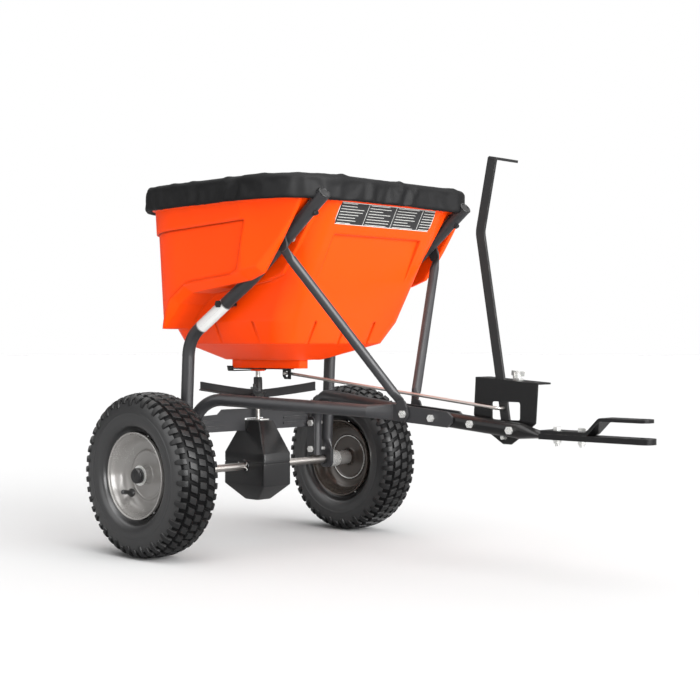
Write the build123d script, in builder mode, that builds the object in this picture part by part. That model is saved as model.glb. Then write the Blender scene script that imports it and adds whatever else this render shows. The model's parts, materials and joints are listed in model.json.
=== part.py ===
"""Tow-behind broadcast spreader: hopper, frame, hitch, ground drive, spinner and flow control.

Millimetres, +Z up, +X towards the hitch, +Y to the machine's left. The origin is on the ground,
half way between the rear of the tyres and the tip of the hitch. Positions in the plane helpers
are ahead of the axle and above the ground.
"""
import os
from math import atan2, cos, degrees, radians, sin, sqrt

from build123d import *

os.makedirs("parts", exist_ok=True)

# ---- driving dimensions ---------------------------------------------------------------------
SIDES = (("right", -1), ("left", 1))

TYRE_D = 330.0
TYRE_W = 103.0
WHEEL_Y = 290.7
RIM_R = 88.0
BEAD_R = 76.0
RIM_FACE = 38.0
HUB_R = 16.0
AXLE_R = 7.95
AXLE_Z = TYRE_D / 2
FIT = 0.05                 # radial clearance of shafts in bores
BOLT_FIT = 0.3             # radial clearance of bolts in plates and tubes

HITCH_TIP = 969.0
AXLE_X = -(HITCH_TIP - TYRE_D / 2) / 2

TUBE_R = 12.7
LEG_Y = 205.0
LEG_END = (403.0, 702.8)
BRACE_TOP = (303.0, 625.7)
BASE_Y = 178.0
BASE_X = -2.0
BASE_KNEE_Z = 315.0
PLATE_Y = 14.5             # inner face of the base tubes' pressed ends
PLATE_T = 5.0
SHEET = 3.0
BRACE_R = 9.5

HOPPER_WALL = 4.0
RIM_Z = 737.0
LEDGE_Z = 697.0
SHOULDER_Z = 703.0          # the lower form runs up into the collar to here
EDGE_Z = 426.0
BELLY_Z = 392.0
FLOOR_Z = 374.0
RIM_FRONT = 392.0
RIM_REAR = -112.0
RIM_HALF = 272.0
LIP = 8.0
CORNER_R = 38.0
CHANNEL_IN = 187.5
CHANNEL_OUT = 229.0
FLANK_Y = 238.0            # the pods' flanks curve under beyond this
POCKET = (635.0, 550.0, 7.0)
GROOVE = 2.6

SHAFT_R = 4.75
BLADES = 4
GATE_T = 2.0
GATE_Z = 371.4
GATE_HOOK = (90.0, 363.0)

PIVOT = (650.0, 256.0)
ROD_HOLE = (641.0, 308.3)
ROD_R = 3.2
ROD_Y = 6.0
LEVER_Y = 21.0
LEVER_T = 5.0

TONGUE_R = 14.3
TONGUE_BOLTS = ((436.0, 291.5), (503.0, 286.0), (592.0, 278.5), (682.0, 271.0))
BAR_Z = 259.0
BAR_T = 10.0
BAR_W = 38.0
STRAP_T = 6.0
STRAP_GAP_Z = 295.0
HITCH_PIN = (945.0, 8.3)
HITCH_BOLTS = (775.0, 826.0)

GEAR_TEETH = 36
PINION_TEETH = 12
MODULE = 2.5
CONE = MODULE / 2 * sqrt(GEAR_TEETH ** 2 + PINION_TEETH ** 2)


def level(z, x=0.0, y=0.0):
    """Horizontal plane at height z."""
    return Plane(origin=(AXLE_X + x, y, z))


def upright(y, x=0.0, z=0.0):
    """Fore-and-aft plane at y: local x is forward, local y is up and the normal is to the right."""
    return Plane(origin=(AXLE_X + x, y, z), x_dir=(1, 0, 0), z_dir=(0, -1, 0))


def across(x, y=0.0, z=0.0):
    """Crosswise plane at x: local x is to the left, local y is up and the normal is forward."""
    return Plane(origin=(AXLE_X + x, y, z), x_dir=(0, 1, 0), z_dir=(1, 0, 0))


def save(builder, label):
    """Names a finished piece and writes its STEP file."""
    builder.part.label = label
    export_step(builder.part, f"parts/{label}.step")


def end_bolt(y, below):
    """Plane of the bolt near a leg's upper end, set below the tube's middle and facing down."""
    slope = Vector(193, 0, 148.8).normalized()
    down = Vector(slope.Z, 0, -slope.X)
    middle = Vector(AXLE_X + LEG_END[0], y, LEG_END[1]) - slope * 39
    return Plane(origin=middle + down * below, x_dir=(0, 1, 0), z_dir=down)


def drill(plane, radius, depth):
    """A cylinder centred on a plane and reaching depth to both sides, for cutting holes."""
    with BuildPart() as tool:
        with BuildSketch(plane):
            Circle(radius)
        extrude(amount=depth, both=True)
    return tool.part


def bolt(plane, length, shank, head, head_t, nut_at=0.0, nut_t=0.0):
    """A hexagon-head bolt: its head bears on the plane and its shank runs against the normal."""
    with BuildPart() as piece:
        with BuildSketch(plane):
            RegularPolygon(head / 2, 6, major_radius=False)
        extrude(amount=head_t)
        with BuildSketch(plane):
            Circle(shank)
        extrude(amount=-length)
        if nut_t:
            with BuildSketch(plane.offset(-nut_at)):
                RegularPolygon(head / 2, 6, major_radius=False)
            extrude(amount=-nut_t)
    return piece.part


def tube(plane, points, bend, radius):
    """A round tube along points in a plane, its bore left closed."""
    with BuildPart() as piece:
        with BuildLine(plane) as path:
            if bend:
                FilletPolyline(*points, radius=bend)
            else:
                Polyline(*points)
        with BuildSketch(Plane(origin=path.line @ 0, z_dir=path.line % 0)):
            Circle(radius)
        sweep(path=path.line)
    return piece.part


def strip(plane, points, thick, wide, bend=0.0):
    """A flat strip bent along points in a plane, its width centred on the plane."""
    with BuildPart() as piece:
        with BuildSketch(plane):
            with BuildLine() as spine:
                if bend:
                    FilletPolyline(*points, radius=bend)
                else:
                    Polyline(*points)
            trace(line_width=thick)
        extrude(amount=wide / 2, both=True)
    return piece.part


def neck(round_plane, radius, flat_plane, wide, thick):
    """The stretch where a tube is pressed from round to flat."""
    with BuildPart() as piece:
        with BuildSketch(round_plane):
            Circle(radius)
        with BuildSketch(flat_plane):
            Ellipse(wide / 2 - 1, thick / 2 - 0.6)
        loft()
    return piece.part


# ---- hopper ---------------------------------------------------------------------------------
def rim_outline(grow):
    """The hopper's mouth in plan: tighter corners in front, wide ones behind."""
    with BuildSketch() as mouth:
        with BuildLine():
            Polyline((RIM_REAR - grow, -RIM_HALF - grow), (RIM_FRONT + grow, -RIM_HALF - grow),
                     (RIM_FRONT + grow, RIM_HALF + grow), (RIM_REAR - grow, RIM_HALF + grow), close=True)
        make_face()
        fillet(mouth.vertices().group_by(Axis.X)[-1], 110 + grow)
        fillet(mouth.vertices().group_by(Axis.X)[0], 145 + grow)
    return mouth.sketch


def pod_outline(inset):
    """The side pods in plan: flat flanks that turn inwards towards the front."""
    half = RIM_HALF - 4 - inset
    with BuildSketch() as plan:
        with BuildLine():
            Polyline((RIM_REAR + 9 + inset, -half), (240, -half), (376 - inset, -233 + inset),
                     (376 - inset, 233 - inset), (240, half), (RIM_REAR + 9 + inset, half), close=True)
        make_face()
        fillet(plan.vertices().group_by(Axis.X)[0], 140 - inset)
    return plan.sketch


def basin_section(rear, front, half, radius, inset):
    """A rounded rectangle in plan, drawn in by inset."""
    with BuildSketch() as plan:
        with Locations(((rear + front) / 2, 0)):
            RectangleRounded(front - rear - 2 * inset, 2 * (half - inset), radius - inset)
    return plan.sketch


def outlet_outline(inset):
    """The wedge-shaped outlet in plan."""
    with BuildSketch() as plan:
        with BuildLine():
            Polyline((-46 + inset, -30), (-30, -46 + inset), (0, -46 + inset), (140 - inset, -12 + inset),
                     (140 - inset, 12 - inset), (0, 46 - inset), (-30, 46 - inset), (-46 + inset, 30), close=True)
        make_face()
    return plan.sketch


def front_wall(z):
    """How far forward the hopper's front wall stands at height z."""
    return 262 + (388 - 262) * (z - 470) / (SHOULDER_Z - 470)


def flank_outline(inset, lift):
    """The side pods seen from the side, their lower edge raised by lift."""
    floor = 456 + inset + lift
    with BuildSketch() as profile:
        with BuildLine():
            Polyline((-200, 710), (379 - inset - lift / 4, 710), (360 - inset - lift / 2, 676 + lift / 4),
                     (316 - inset - lift / 2, 615 + inset + lift / 2), (272 - inset - lift / 3, 560 + inset + lift),
                     (233 - lift / 5, 547 + inset + lift), (66 - inset / 2 - lift / 4, 527 + inset + lift),
                     (30 - inset - lift / 2, 505 + inset + lift), (-18 - inset - lift / 2, floor), (-200, floor),
                     close=True)
        make_face()
    return profile.sketch


def hull(inset):
    """The hopper's filled form, drawn in by inset. The moulded shell is one less another."""
    with BuildPart() as flanks:
        for side in (-1, 1):
            for y, lift in ((FLANK_Y, 0), (FLANK_Y + 48, 34)):
                with BuildSketch(upright(side * y)):
                    add(flank_outline(inset, lift))
            loft(ruled=True)
        with BuildSketch(upright(0)):
            add(flank_outline(inset, 0))
        extrude(amount=FLANK_Y, both=True)
    with BuildPart() as pods:
        with BuildSketch(level(SHOULDER_Z)):
            add(pod_outline(inset))
        extrude(amount=-260, taper=3)
        add(flanks.part, mode=Mode.INTERSECT)
    with BuildPart() as recess:
        with BuildSketch(upright(0)):
            with BuildLine():
                Polyline((-200, 641), (-46, 647), (248, 660), (223, 568), (205, 559), (70, 546), (13, 513),
                         (-30, 452), (-30, 440), (-200, 440), close=True)
            make_face()
        extrude(amount=300, both=True)
        with BuildSketch(level(SHOULDER_Z)):
            add(pod_outline(inset + 5))
        extrude(amount=-280, taper=3, mode=Mode.SUBTRACT)
    with BuildPart() as form:
        with BuildSketch(level(EDGE_Z + inset / 2)):
            add(basin_section(-80, 238, 152, CORNER_R, inset))
        with BuildSketch(level(470)):
            add(basin_section(-92, 262, 174, CORNER_R, inset))
        with BuildSketch(level(SHOULDER_Z)):
            add(basin_section(-106, 388, 184, CORNER_R, inset))
        loft(ruled=True)
        with BuildSketch(level(EDGE_Z + inset / 2)):
            add(basin_section(-80, 238, 152, CORNER_R, inset))
        with BuildSketch(level(BELLY_Z + inset)):
            add(basin_section(-52, 150, 62, 30, inset))
        loft(ruled=True)
        with BuildSketch(level(FLOOR_Z + inset)):
            add(outlet_outline(inset))
        extrude(amount=BELLY_Z - FLOOR_Z + 2)
        add(pods.part)
        add(recess.part, mode=Mode.SUBTRACT)
        pocket_top, pocket_low, pocket_deep = POCKET
        with BuildSketch(upright(0)):
            with BuildLine():
                Polyline((front_wall(pocket_top) - pocket_deep - inset, pocket_top + inset),
                         (front_wall(pocket_top) + 30, pocket_top + inset), (front_wall(pocket_low) + 30, pocket_low),
                         (front_wall(pocket_low) - inset, pocket_low), close=True)
            make_face()
        extrude(amount=125 + inset, both=True, mode=Mode.SUBTRACT)
        with BuildSketch(level(LEDGE_Z + inset)):
            add(rim_outline(-inset))
        extrude(amount=RIM_Z - LEDGE_Z)
        for side in (-1, 1):
            with BuildSketch(upright(side * (CHANNEL_IN + CHANNEL_OUT) / 2)):
                with BuildLine():
                    Polyline((-9 - inset, 380), (-1 - inset, 441 + inset), (62, 492 + inset), (204, 577 + inset),
                             (290, 635 + inset), (410, 727.5 + inset), (410, 380), close=True)
                make_face()
            extrude(amount=(CHANNEL_OUT - CHANNEL_IN) / 2 + inset, both=True, mode=Mode.SUBTRACT)
    return form.part


with BuildPart() as hopper:
    add(hull(0))
    with BuildSketch(level(RIM_Z - 6)):
        add(rim_outline(LIP))
    extrude(amount=6)
    add(hull(HOPPER_WALL), mode=Mode.SUBTRACT)
    with BuildSketch(level(FLOOR_Z - 7)):
        Circle(15)
    extrude(amount=16)
    add(drill(level(FLOOR_Z), SHAFT_R + FIT, 20), mode=Mode.SUBTRACT)
    for y in (-85, 0, 85):
        with BuildSketch(upright(y)):
            with BuildLine():
                Polyline((235 - GROOVE, EDGE_Z - 6), (front_wall(470) - GROOVE, 470), (280, 466), (280, EDGE_Z - 6),
                         close=True)
            make_face()
        extrude(amount=3.5, both=True, mode=Mode.SUBTRACT)
    for side in (-1, 1):
        for x in (60, 172):
            with BuildSketch(across(x)):
                with BuildLine():
                    Polyline((side * (151 - GROOVE), EDGE_Z - 6), (side * (174 - GROOVE), 470), (side * 190, 466),
                             (side * 190, EDGE_Z - 6), close=True)
                make_face()
            extrude(amount=3.5, both=True, mode=Mode.SUBTRACT)
        with BuildSketch(level(FLOOR_Z, -28, side * 31)):
            Circle(10)
        extrude(amount=20, both=True, mode=Mode.SUBTRACT)
        add(drill(upright(side * 180, 125, 504), 4 + BOLT_FIT, 30), mode=Mode.SUBTRACT)
        add(drill(end_bolt(side * LEG_Y, -20), 3 + BOLT_FIT, 16), mode=Mode.SUBTRACT)
save(hopper, "hopper")

# ---- frame ----------------------------------------------------------------------------------
for name, side in SIDES:
    y = side * LEG_Y
    with BuildPart() as leg:
        add(tube(upright(y), ((6, 212), (17.5, 436), (210, 554), LEG_END), 66, TUBE_R))
        heel = Plane(origin=(AXLE_X + 6, y, 212), x_dir=(0, 1, 0), z_dir=(-11.5, 0, -224))
        add(neck(heel, TUBE_R, Plane(origin=(AXLE_X + 5, y, 190), x_dir=(0, 1, 0), z_dir=(0, 0, -1)), 8, 36))
        with BuildSketch(upright(y)):
            with Locations((4.5, 171.5)):
                RectangleRounded(36, 49, 14)
        extrude(amount=4, both=True)
        add(drill(upright(y, 0, AXLE_Z), 11 + FIT, 20), mode=Mode.SUBTRACT)
        for z in (190, 248):
            add(drill(upright(y, 0, z), 4 + BOLT_FIT, 20), mode=Mode.SUBTRACT)
        add(drill(upright(y, 125, 504), 4 + BOLT_FIT, 20), mode=Mode.SUBTRACT)
        add(drill(upright(y, *BRACE_TOP), 4 + BOLT_FIT, 20), mode=Mode.SUBTRACT)
        add(drill(end_bolt(y, 0), 3 + BOLT_FIT, 20), mode=Mode.SUBTRACT)
    save(leg, f"leg_{name}")

    with BuildPart() as bushing:
        with BuildSketch(upright(y, 0, AXLE_Z)):
            Circle(11)
            Circle(AXLE_R + FIT, mode=Mode.SUBTRACT)
        extrude(amount=7, both=True)
    save(bushing, f"axle_bushing_{name}")

    run = Vector(436 - BASE_X, side * (19 - BASE_Y), 0).normalized()
    lane = Plane(origin=(AXLE_X + BASE_X, side * BASE_Y, 0), x_dir=run, z_dir=run.cross(Vector(0, 0, 1)))
    with BuildPart() as base_tube:
        add(tube(lane, ((0, 176), (0, BASE_KNEE_Z), (390, 295.5)), 66, TUBE_R))
        nose = Plane(origin=lane.from_local_coords(Vector(390, 295.5, 0)), x_dir=run.cross(Vector(0, 0, 1)),
                     z_dir=run * 390 - Vector(0, 0, BASE_KNEE_Z - 295.5))
        side_plate = side * (PLATE_Y + PLATE_T / 2)
        heel = across(406, side_plate, 293.7)
        add(neck(nose, TUBE_R, heel, PLATE_T + 1.4, 33))
        with BuildSketch(upright(side_plate)):
            with BuildLine():
                Polyline((405, 310), (541, 299.5), (552, 290), (551, 279), (540, 270), (405, 277.5), close=True)
            make_face()
        extrude(amount=PLATE_T / 2, both=True)
        for z in (190, 248):
            add(drill(upright(side * BASE_Y, 0, z), 4 + BOLT_FIT, 20), mode=Mode.SUBTRACT)
        for x, z in TONGUE_BOLTS[:2]:
            add(drill(upright(side_plate, x, z), 4 + BOLT_FIT, 6), mode=Mode.SUBTRACT)
    save(base_tube, f"base_tube_{name}")

    top = (AXLE_X + BRACE_TOP[0], side * 220, BRACE_TOP[1])
    foot = (AXLE_X + 436, side * (PLATE_Y + PLATE_T + 2.2), 291.5)
    slope = Vector(foot[0] - top[0], 0, foot[2] - top[2]).normalized()
    tilt = Vector(0, 1, 0).cross(slope)
    upper = Plane(origin=Vector(*top) + slope * 26, x_dir=tilt, z_dir=slope)
    lower = Plane(origin=Vector(*foot) - slope * 26, x_dir=tilt, z_dir=slope)
    chord = (lower.origin - upper.origin).normalized()
    with BuildPart() as brace:
        start = Plane(origin=upper.origin + chord * 24, z_dir=chord)
        end = Plane(origin=lower.origin - chord * 24, z_dir=chord)
        with BuildSketch(start):
            Circle(BRACE_R)
        extrude(amount=(end.origin - start.origin).length)
        add(neck(start, BRACE_R, upper, 24, 4))
        add(neck(end, BRACE_R, lower, 24, 4))
        for hole, reach in ((top, 1), (foot, -1)):
            with BuildSketch(Plane(origin=Vector(*hole) + slope * (8 * reach), x_dir=slope, z_dir=(0, 1, 0))):
                RectangleRounded(40, 24, 10)
            extrude(amount=2, both=True)
            add(drill(Plane(origin=hole, z_dir=(0, 1, 0)), 4 + BOLT_FIT, 6), mode=Mode.SUBTRACT)
    save(brace, f"brace_{name}")

    with BuildPart() as lower_bolts:
        for z in (190, 248):
            seat = Plane(origin=(AXLE_X, side * 161.2, z), x_dir=(1, 0, 0), z_dir=(0, -side, 0))
            add(bolt(seat, 60, 4, 13, 5.5))
    save(lower_bolts, f"frame_bolts_{name}")

    with BuildPart() as hull_bolts:
        outward = Plane(origin=(AXLE_X + 125, side * 218, 504), x_dir=(1, 0, 0), z_dir=(0, side, 0))
        add(bolt(outward, 60, 4, 13, 5, 50, 5.5))
        with BuildSketch(outward.offset(-27)):
            RegularPolygon(6.5, 6, major_radius=False)
        extrude(amount=-5.5)
        add(bolt(end_bolt(y, TUBE_R + 0.3), 42, 3, 10, 4, 34, 5))
    save(hull_bolts, f"hopper_bolts_{name}")

    with BuildPart() as brace_bolt:
        outward = Plane(origin=(AXLE_X + BRACE_TOP[0], side * 222.2, BRACE_TOP[1]), x_dir=(1, 0, 0), z_dir=(0, side, 0))
        add(bolt(outward, 34, 4, 13, 5, 30.2, 3.8))
    save(brace_bolt, f"brace_bolt_{name}")

with BuildPart() as cross_plate:
    with BuildSketch(across(-12)) as web:
        with BuildLine():
            Polyline((-163, 240), (163, 240), (163, 274), (104, 277), (92, 287), (-92, 287), (-104, 277),
                     (-163, 274), close=True)
        make_face()
        with Locations((0, 250)):
            Rectangle(56, 33, mode=Mode.SUBTRACT)
    extrude(amount=SHEET / 2, both=True)
    for side in (-1, 1):
        for z in (251, 263):
            with BuildSketch(across(-12 + SHEET / 2, side * 121, z)):
                SlotOverall(72, 5)
            extrude(amount=2)
        with BuildSketch(upright(side * 163)):
            with BuildLine():
                Polyline((-13.5, 178), (9, 178), (9, 256), (3, 262), (-7, 262), (-13.5, 276), close=True)
            make_face()
        extrude(amount=SHEET / 2, both=True)
        for z in (190, 248):
            add(drill(upright(side * 163, 0, z), 4 + BOLT_FIT, 6), mode=Mode.SUBTRACT)
save(cross_plate, "cross_plate")

# ---- tongue and hitch -----------------------------------------------------------------------
with BuildPart() as tongue:
    add(tube(upright(0), ((424, 292.5), (696, 269.9)), 0, TONGUE_R))
    dip = Plane(origin=(AXLE_X + 696, 0, 269.9), x_dir=(0, 1, 0), z_dir=(272, 0, -22.6))
    add(neck(dip, TONGUE_R, across(750, 0, BAR_Z + BAR_T / 2), BAR_W, BAR_T))
    with BuildSketch(level(BAR_Z)):
        with Locations(((748 + HITCH_TIP) / 2, 0)):
            Rectangle(HITCH_TIP - 748, BAR_W)
        fillet(vertices().group_by(Axis.X)[-1], BAR_W * 0.45)
    extrude(amount=BAR_T)
    for x, z in TONGUE_BOLTS:
        add(drill(upright(0, x, z), 4 + BOLT_FIT, 20), mode=Mode.SUBTRACT)
    for x in HITCH_BOLTS:
        add(drill(level(BAR_Z, x), 4 + BOLT_FIT, 20), mode=Mode.SUBTRACT)
    add(drill(level(BAR_Z, HITCH_PIN[0]), HITCH_PIN[1], 20), mode=Mode.SUBTRACT)
save(tongue, "tongue")

with BuildPart() as hitch_strap:
    low = BAR_Z + BAR_T + 0.2 + STRAP_T / 2
    high = STRAP_GAP_Z + STRAP_T / 2
    add(strip(upright(0), ((752, low), (847, low), (873, high), (964, high)), STRAP_T, BAR_W, 8))
    fillet(edges().filter_by(Axis.Z).group_by(Axis.X)[-1], BAR_W * 0.42)
    for x in HITCH_BOLTS:
        add(drill(level(low, x), 4 + BOLT_FIT, 20), mode=Mode.SUBTRACT)
    add(drill(level(high, HITCH_PIN[0]), HITCH_PIN[1], 20), mode=Mode.SUBTRACT)
save(hitch_strap, "hitch_strap")

with BuildPart() as hitch_bolts:
    for x in HITCH_BOLTS:
        add(bolt(level(BAR_Z + BAR_T + 0.4 + STRAP_T, x), 28, 4, 13, 5.5, 16.6, 6.5))
save(hitch_bolts, "hitch_bolts")

with BuildPart() as tongue_bolts:
    for index, (x, z) in enumerate(TONGUE_BOLTS):
        reach = (24.0, 19.7, 18.2, 18.2)[index]
        back = (24.0, 19.7, 14.5, 14.5)[index]
        seat = Plane(origin=(AXLE_X + x, -back - 0.1, z), x_dir=(1, 0, 0), z_dir=(0, -1, 0))
        add(bolt(seat, reach + back + 10, 4, 13, 5.5, reach + back + 0.2, 6.5))
save(tongue_bolts, "tongue_bolts")

# ---- control bracket, lever and rod ---------------------------------------------------------
with BuildPart() as control_bracket:
    with BuildSketch(upright(16.5)):
        with BuildLine():
            Polyline((581, 365), (722, 356), (717, 283), (688, 260), (663, 243), (645, 243), (608, 265),
                     (577, 294), close=True)
        make_face()
        with Locations((651, 304)):
            RectangleRounded(64, 33, 4, mode=Mode.SUBTRACT)
    extrude(amount=SHEET / 2, both=True)
    flange = Plane(origin=(AXLE_X + 651.5, 15, 360.5), x_dir=(141, 0, -9), z_dir=(9, 0, 141))
    with BuildSketch(flange):
        with Locations((0, 22)):
            RectangleRounded(141.3, 44, 5)
        with Locations((11, 9)):
            SlotOverall(98, 8, mode=Mode.SUBTRACT)
        with Locations((14, 34)):
            SlotOverall(94, 6.6, mode=Mode.SUBTRACT)
    extrude(amount=-SHEET)
    add(drill(upright(16.5, *PIVOT), 4 + BOLT_FIT, 6), mode=Mode.SUBTRACT)
    for x, z in TONGUE_BOLTS[2:]:
        add(drill(upright(16.5, x, z), 4 + BOLT_FIT, 6), mode=Mode.SUBTRACT)
save(control_bracket, "control_bracket")

with BuildPart() as pivot_bolt:
    seat = Plane(origin=(AXLE_X + PIVOT[0], LEVER_Y + LEVER_T + 0.6, PIVOT[1]), x_dir=(1, 0, 0), z_dir=(0, 1, 0))
    add(bolt(seat, 22, 4, 13, 5))
    with BuildSketch(seat.offset(-LEVER_T - 1)):
        Circle(8)
    extrude(amount=-2.2)
save(pivot_bolt, "pivot_bolt")

with BuildPart() as lever:
    lever_mid = LEVER_Y + LEVER_T / 2
    with BuildSketch(upright(lever_mid)):
        with BuildLine():
            FilletPolyline((651.5, 244), (632, 367), (585.6, 634), (614, 770), radius=40)
        trace(line_width=19)
    extrude(amount=LEVER_T / 2, both=True)
    grip = Plane(origin=(AXLE_X + 613.5, LEVER_Y, 767), x_dir=(0.98, 0, -0.2), z_dir=(0.2, 0, 0.98))
    with BuildSketch(grip):
        with Locations((0, 35)):
            RectangleRounded(19, 71, 4)
    extrude(amount=LEVER_T)
    add(drill(upright(lever_mid, *PIVOT), 4 + FIT, 6), mode=Mode.SUBTRACT)
    add(drill(upright(lever_mid, *ROD_HOLE), ROD_R + FIT, 6), mode=Mode.SUBTRACT)
save(lever, "lever")

fall = Vector(ROD_HOLE[0] - GATE_HOOK[0], 0, ROD_HOLE[1] - GATE_HOOK[1])
rod_plane = Plane(origin=(AXLE_X + GATE_HOOK[0], 0, GATE_HOOK[1]), x_dir=fall, z_dir=fall.cross(Vector(0, 1, 0)))
with BuildPart() as control_rod:
    with BuildLine(rod_plane) as rod_path:
        FilletPolyline((0, -8), (0, ROD_Y), (fall.length, ROD_Y), (fall.length, LEVER_Y + LEVER_T + 6), radius=5)
    with BuildSketch(Plane(origin=rod_path.line @ 0, z_dir=rod_path.line % 0)):
        Circle(ROD_R)
    sweep(path=rod_path.line)
save(control_rod, "control_rod")

# ---- flow gate ------------------------------------------------------------------------------
with BuildPart() as gate:
    with BuildSketch(level(GATE_Z)):
        with BuildLine():
            Polyline((-42, -45), (20, -45), (60, -14), (97, -14), (97, 14), (60, 14), (20, 45), (-42, 45),
                     close=True)
        make_face()
        with Locations((-12, 0)):
            Rectangle(62, 34, mode=Mode.SUBTRACT)
    extrude(amount=GATE_T)
    with BuildSketch(upright(0)):
        with BuildLine():
            Polyline((78, GATE_Z + 1), (102, GATE_Z + 1), (102, 351), (84, 351), (78, 357), close=True)
        make_face()
        with Locations((GATE_HOOK[0], GATE_HOOK[1] - 1.2)):
            SlotOverall(13, 8, rotation=90, mode=Mode.SUBTRACT)
    extrude(amount=1, both=True)
save(gate, "gate")

with BuildPart() as gate_guides:
    for side in (-1, 1):
        with BuildSketch(across(-28, 0, FLOOR_Z)):
            with BuildLine():
                Polyline((side * 43, -4.4), (side * 49, -4.4), (side * 49, 8), (side * 46.3, 8),
                         (side * 46.3, -2.9), (side * 43, -2.9), close=True)
            make_face()
        extrude(amount=26)
save(gate_guides, "gate_guides")

# ---- stop -----------------------------------------------------------------------------------
STOP_X = 2.0
with BuildPart() as flow_stop:
    with BuildSketch(flange.offset(0.1)):
        with Locations((STOP_X, 34)):
            Rectangle(14, 14)
    extrude(amount=SHEET)
    with BuildSketch(flange.offset(0.1)):
        with Locations((STOP_X - 5.5, 28.5)):
            Rectangle(3, 3)
    extrude(amount=14)
    with BuildSketch(flange):
        with Locations((STOP_X, 34)):
            Circle(3)
    extrude(amount=-10)
    with BuildSketch(flange):
        with Locations((STOP_X, 34)):
            Circle(3)
    extrude(amount=16)
save(flow_stop, "flow_stop")

with BuildPart() as wing_nut:
    with BuildSketch(flange.offset(SHEET + 0.3)):
        with Locations((STOP_X, 34)):
            Circle(6)
            Circle(3 + FIT, mode=Mode.SUBTRACT)
    extrude(amount=6)
    for turn in (-1, 1):
        with BuildSketch(flange.offset(SHEET + 4)):
            with Locations((STOP_X + turn * 10, 34)):
                Rectangle(10, 2.5)
        extrude(amount=9)
save(wing_nut, "wing_nut")

# ---- gearbox --------------------------------------------------------------------------------
def gearbox_form(grow):
    """The gearbox's filled form: a house shape in both upright views."""
    with BuildPart() as form:
        with BuildSketch(upright(0)):
            with BuildLine():
                Polyline((-62 - grow, 126), (-62 - grow, 194), (-25 - grow, 260 + grow), (25 + grow, 260 + grow),
                         (59 + grow, 194), (59 + grow, 126), (22, 94 - grow), (-22, 94 - grow), close=True)
            make_face()
        extrude(amount=60, both=True)
        with BuildSketch(across(0)):
            with BuildLine():
                Polyline((-37 - grow, 124), (-37 - grow, 192), (-17 - grow, 258 + grow), (-17 - grow, 280),
                         (17 + grow, 280), (17 + grow, 258 + grow), (37 + grow, 192), (37 + grow, 124),
                         (20, 92 - grow), (-20, 92 - grow), close=True)
            make_face()
        extrude(amount=80, both=True, mode=Mode.INTERSECT)
    return form.part


for name, side in (("rear", -1), ("front", 1)):
    with BuildPart() as half:
        add(gearbox_form(6))
        with BuildSketch(across(0, 0, 112)):
            Rectangle(200, 300)
        extrude(amount=4, both=True, mode=Mode.INTERSECT)
        add(gearbox_form(2))
        for outer in (-1, 1):
            with BuildSketch(Plane(origin=(AXLE_X, outer * 34, AXLE_Z), z_dir=(0, outer, 0))):
                Circle(13)
            extrude(amount=9)
        add(gearbox_form(-1.5), mode=Mode.SUBTRACT)
        add(drill(upright(0, 0, AXLE_Z), AXLE_R + FIT, 60), mode=Mode.SUBTRACT)
        add(drill(level(250), SHAFT_R + FIT, 40), mode=Mode.SUBTRACT)
        with BuildSketch(across(0, 0, AXLE_Z)):
            Rectangle(200, 300)
        extrude(amount=-side * 90, mode=Mode.SUBTRACT)
    save(half, f"gearbox_{name}")

with BuildPart() as bearing_plate:
    with BuildSketch(level(262.3)):
        RectangleRounded(46, 30, 6)
        Circle(SHAFT_R + FIT, mode=Mode.SUBTRACT)
    extrude(amount=2.5)
save(bearing_plate, "gearbox_bearing_plate")


def bevel_gear(teeth, pitch_angle, hub_r, hub_back, bore, phase):
    """A straight bevel gear with its apex at the origin and its axis along +Z."""
    ca, sa = cos(pitch_angle), sin(pitch_angle)
    inner = 0.7
    with BuildPart() as gear:
        with BuildSketch(Plane.XZ):
            with BuildLine():
                deep = MODULE * 1.15
                near = (CONE * inner * sa - deep * ca * inner, CONE * inner * ca + deep * sa * inner)
                far = (CONE * sa - deep * ca, CONE * ca + deep * sa)
                Polyline((bore, near[1]), near, far, (far[0], hub_back), (bore, hub_back), close=True)
            make_face()
        revolve(axis=Axis.Z)
        for index in range(teeth):
            turn = radians(phase + 360 * index / teeth)
            radial = Vector(cos(turn), sin(turn), 0)
            ray = radial * sa + Vector(0, 0, ca)
            out = radial * ca - Vector(0, 0, sa)
            for scale in (1, inner):
                with BuildSketch(Plane(origin=ray * (CONE * scale), x_dir=out.cross(ray), z_dir=ray)):
                    with BuildLine():
                        Polyline((-2.1 * scale, -2.9 * scale), (2.1 * scale, -2.9 * scale),
                                 (0.75 * scale, 1.9 * scale), (-0.75 * scale, 1.9 * scale), close=True)
                    make_face()
            loft()
    return gear.part


with BuildPart() as drive_gear:
    gear = bevel_gear(GEAR_TEETH, atan2(GEAR_TEETH, PINION_TEETH), 20, 23, AXLE_R + FIT, 0)
    add(Plane(origin=(AXLE_X, 0, AXLE_Z), x_dir=(0, 0, 1), z_dir=(0, 1, 0)).location * gear)
    with BuildSketch(Plane(origin=(AXLE_X, 20, AXLE_Z), z_dir=(0, 1, 0))):
        Circle(15)
        Circle(AXLE_R + FIT, mode=Mode.SUBTRACT)
    extrude(amount=12)
save(drive_gear, "drive_gear")

with BuildPart() as pinion:
    small = bevel_gear(PINION_TEETH, atan2(PINION_TEETH, GEAR_TEETH), 10, 52, SHAFT_R + FIT, 15)
    add(Plane(origin=(AXLE_X, 0, AXLE_Z), x_dir=(0, 1, 0), z_dir=(0, 0, 1)).location * small)
    with BuildSketch(level(AXLE_Z + 50)):
        Circle(9)
        Circle(SHAFT_R + FIT, mode=Mode.SUBTRACT)
    extrude(amount=14)
save(pinion, "pinion")

# ---- spinner --------------------------------------------------------------------------------
with BuildPart() as spinner_shaft:
    with BuildSketch(level(196)):
        Circle(SHAFT_R)
    extrude(amount=220)
save(spinner_shaft, "spinner_shaft")

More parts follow.
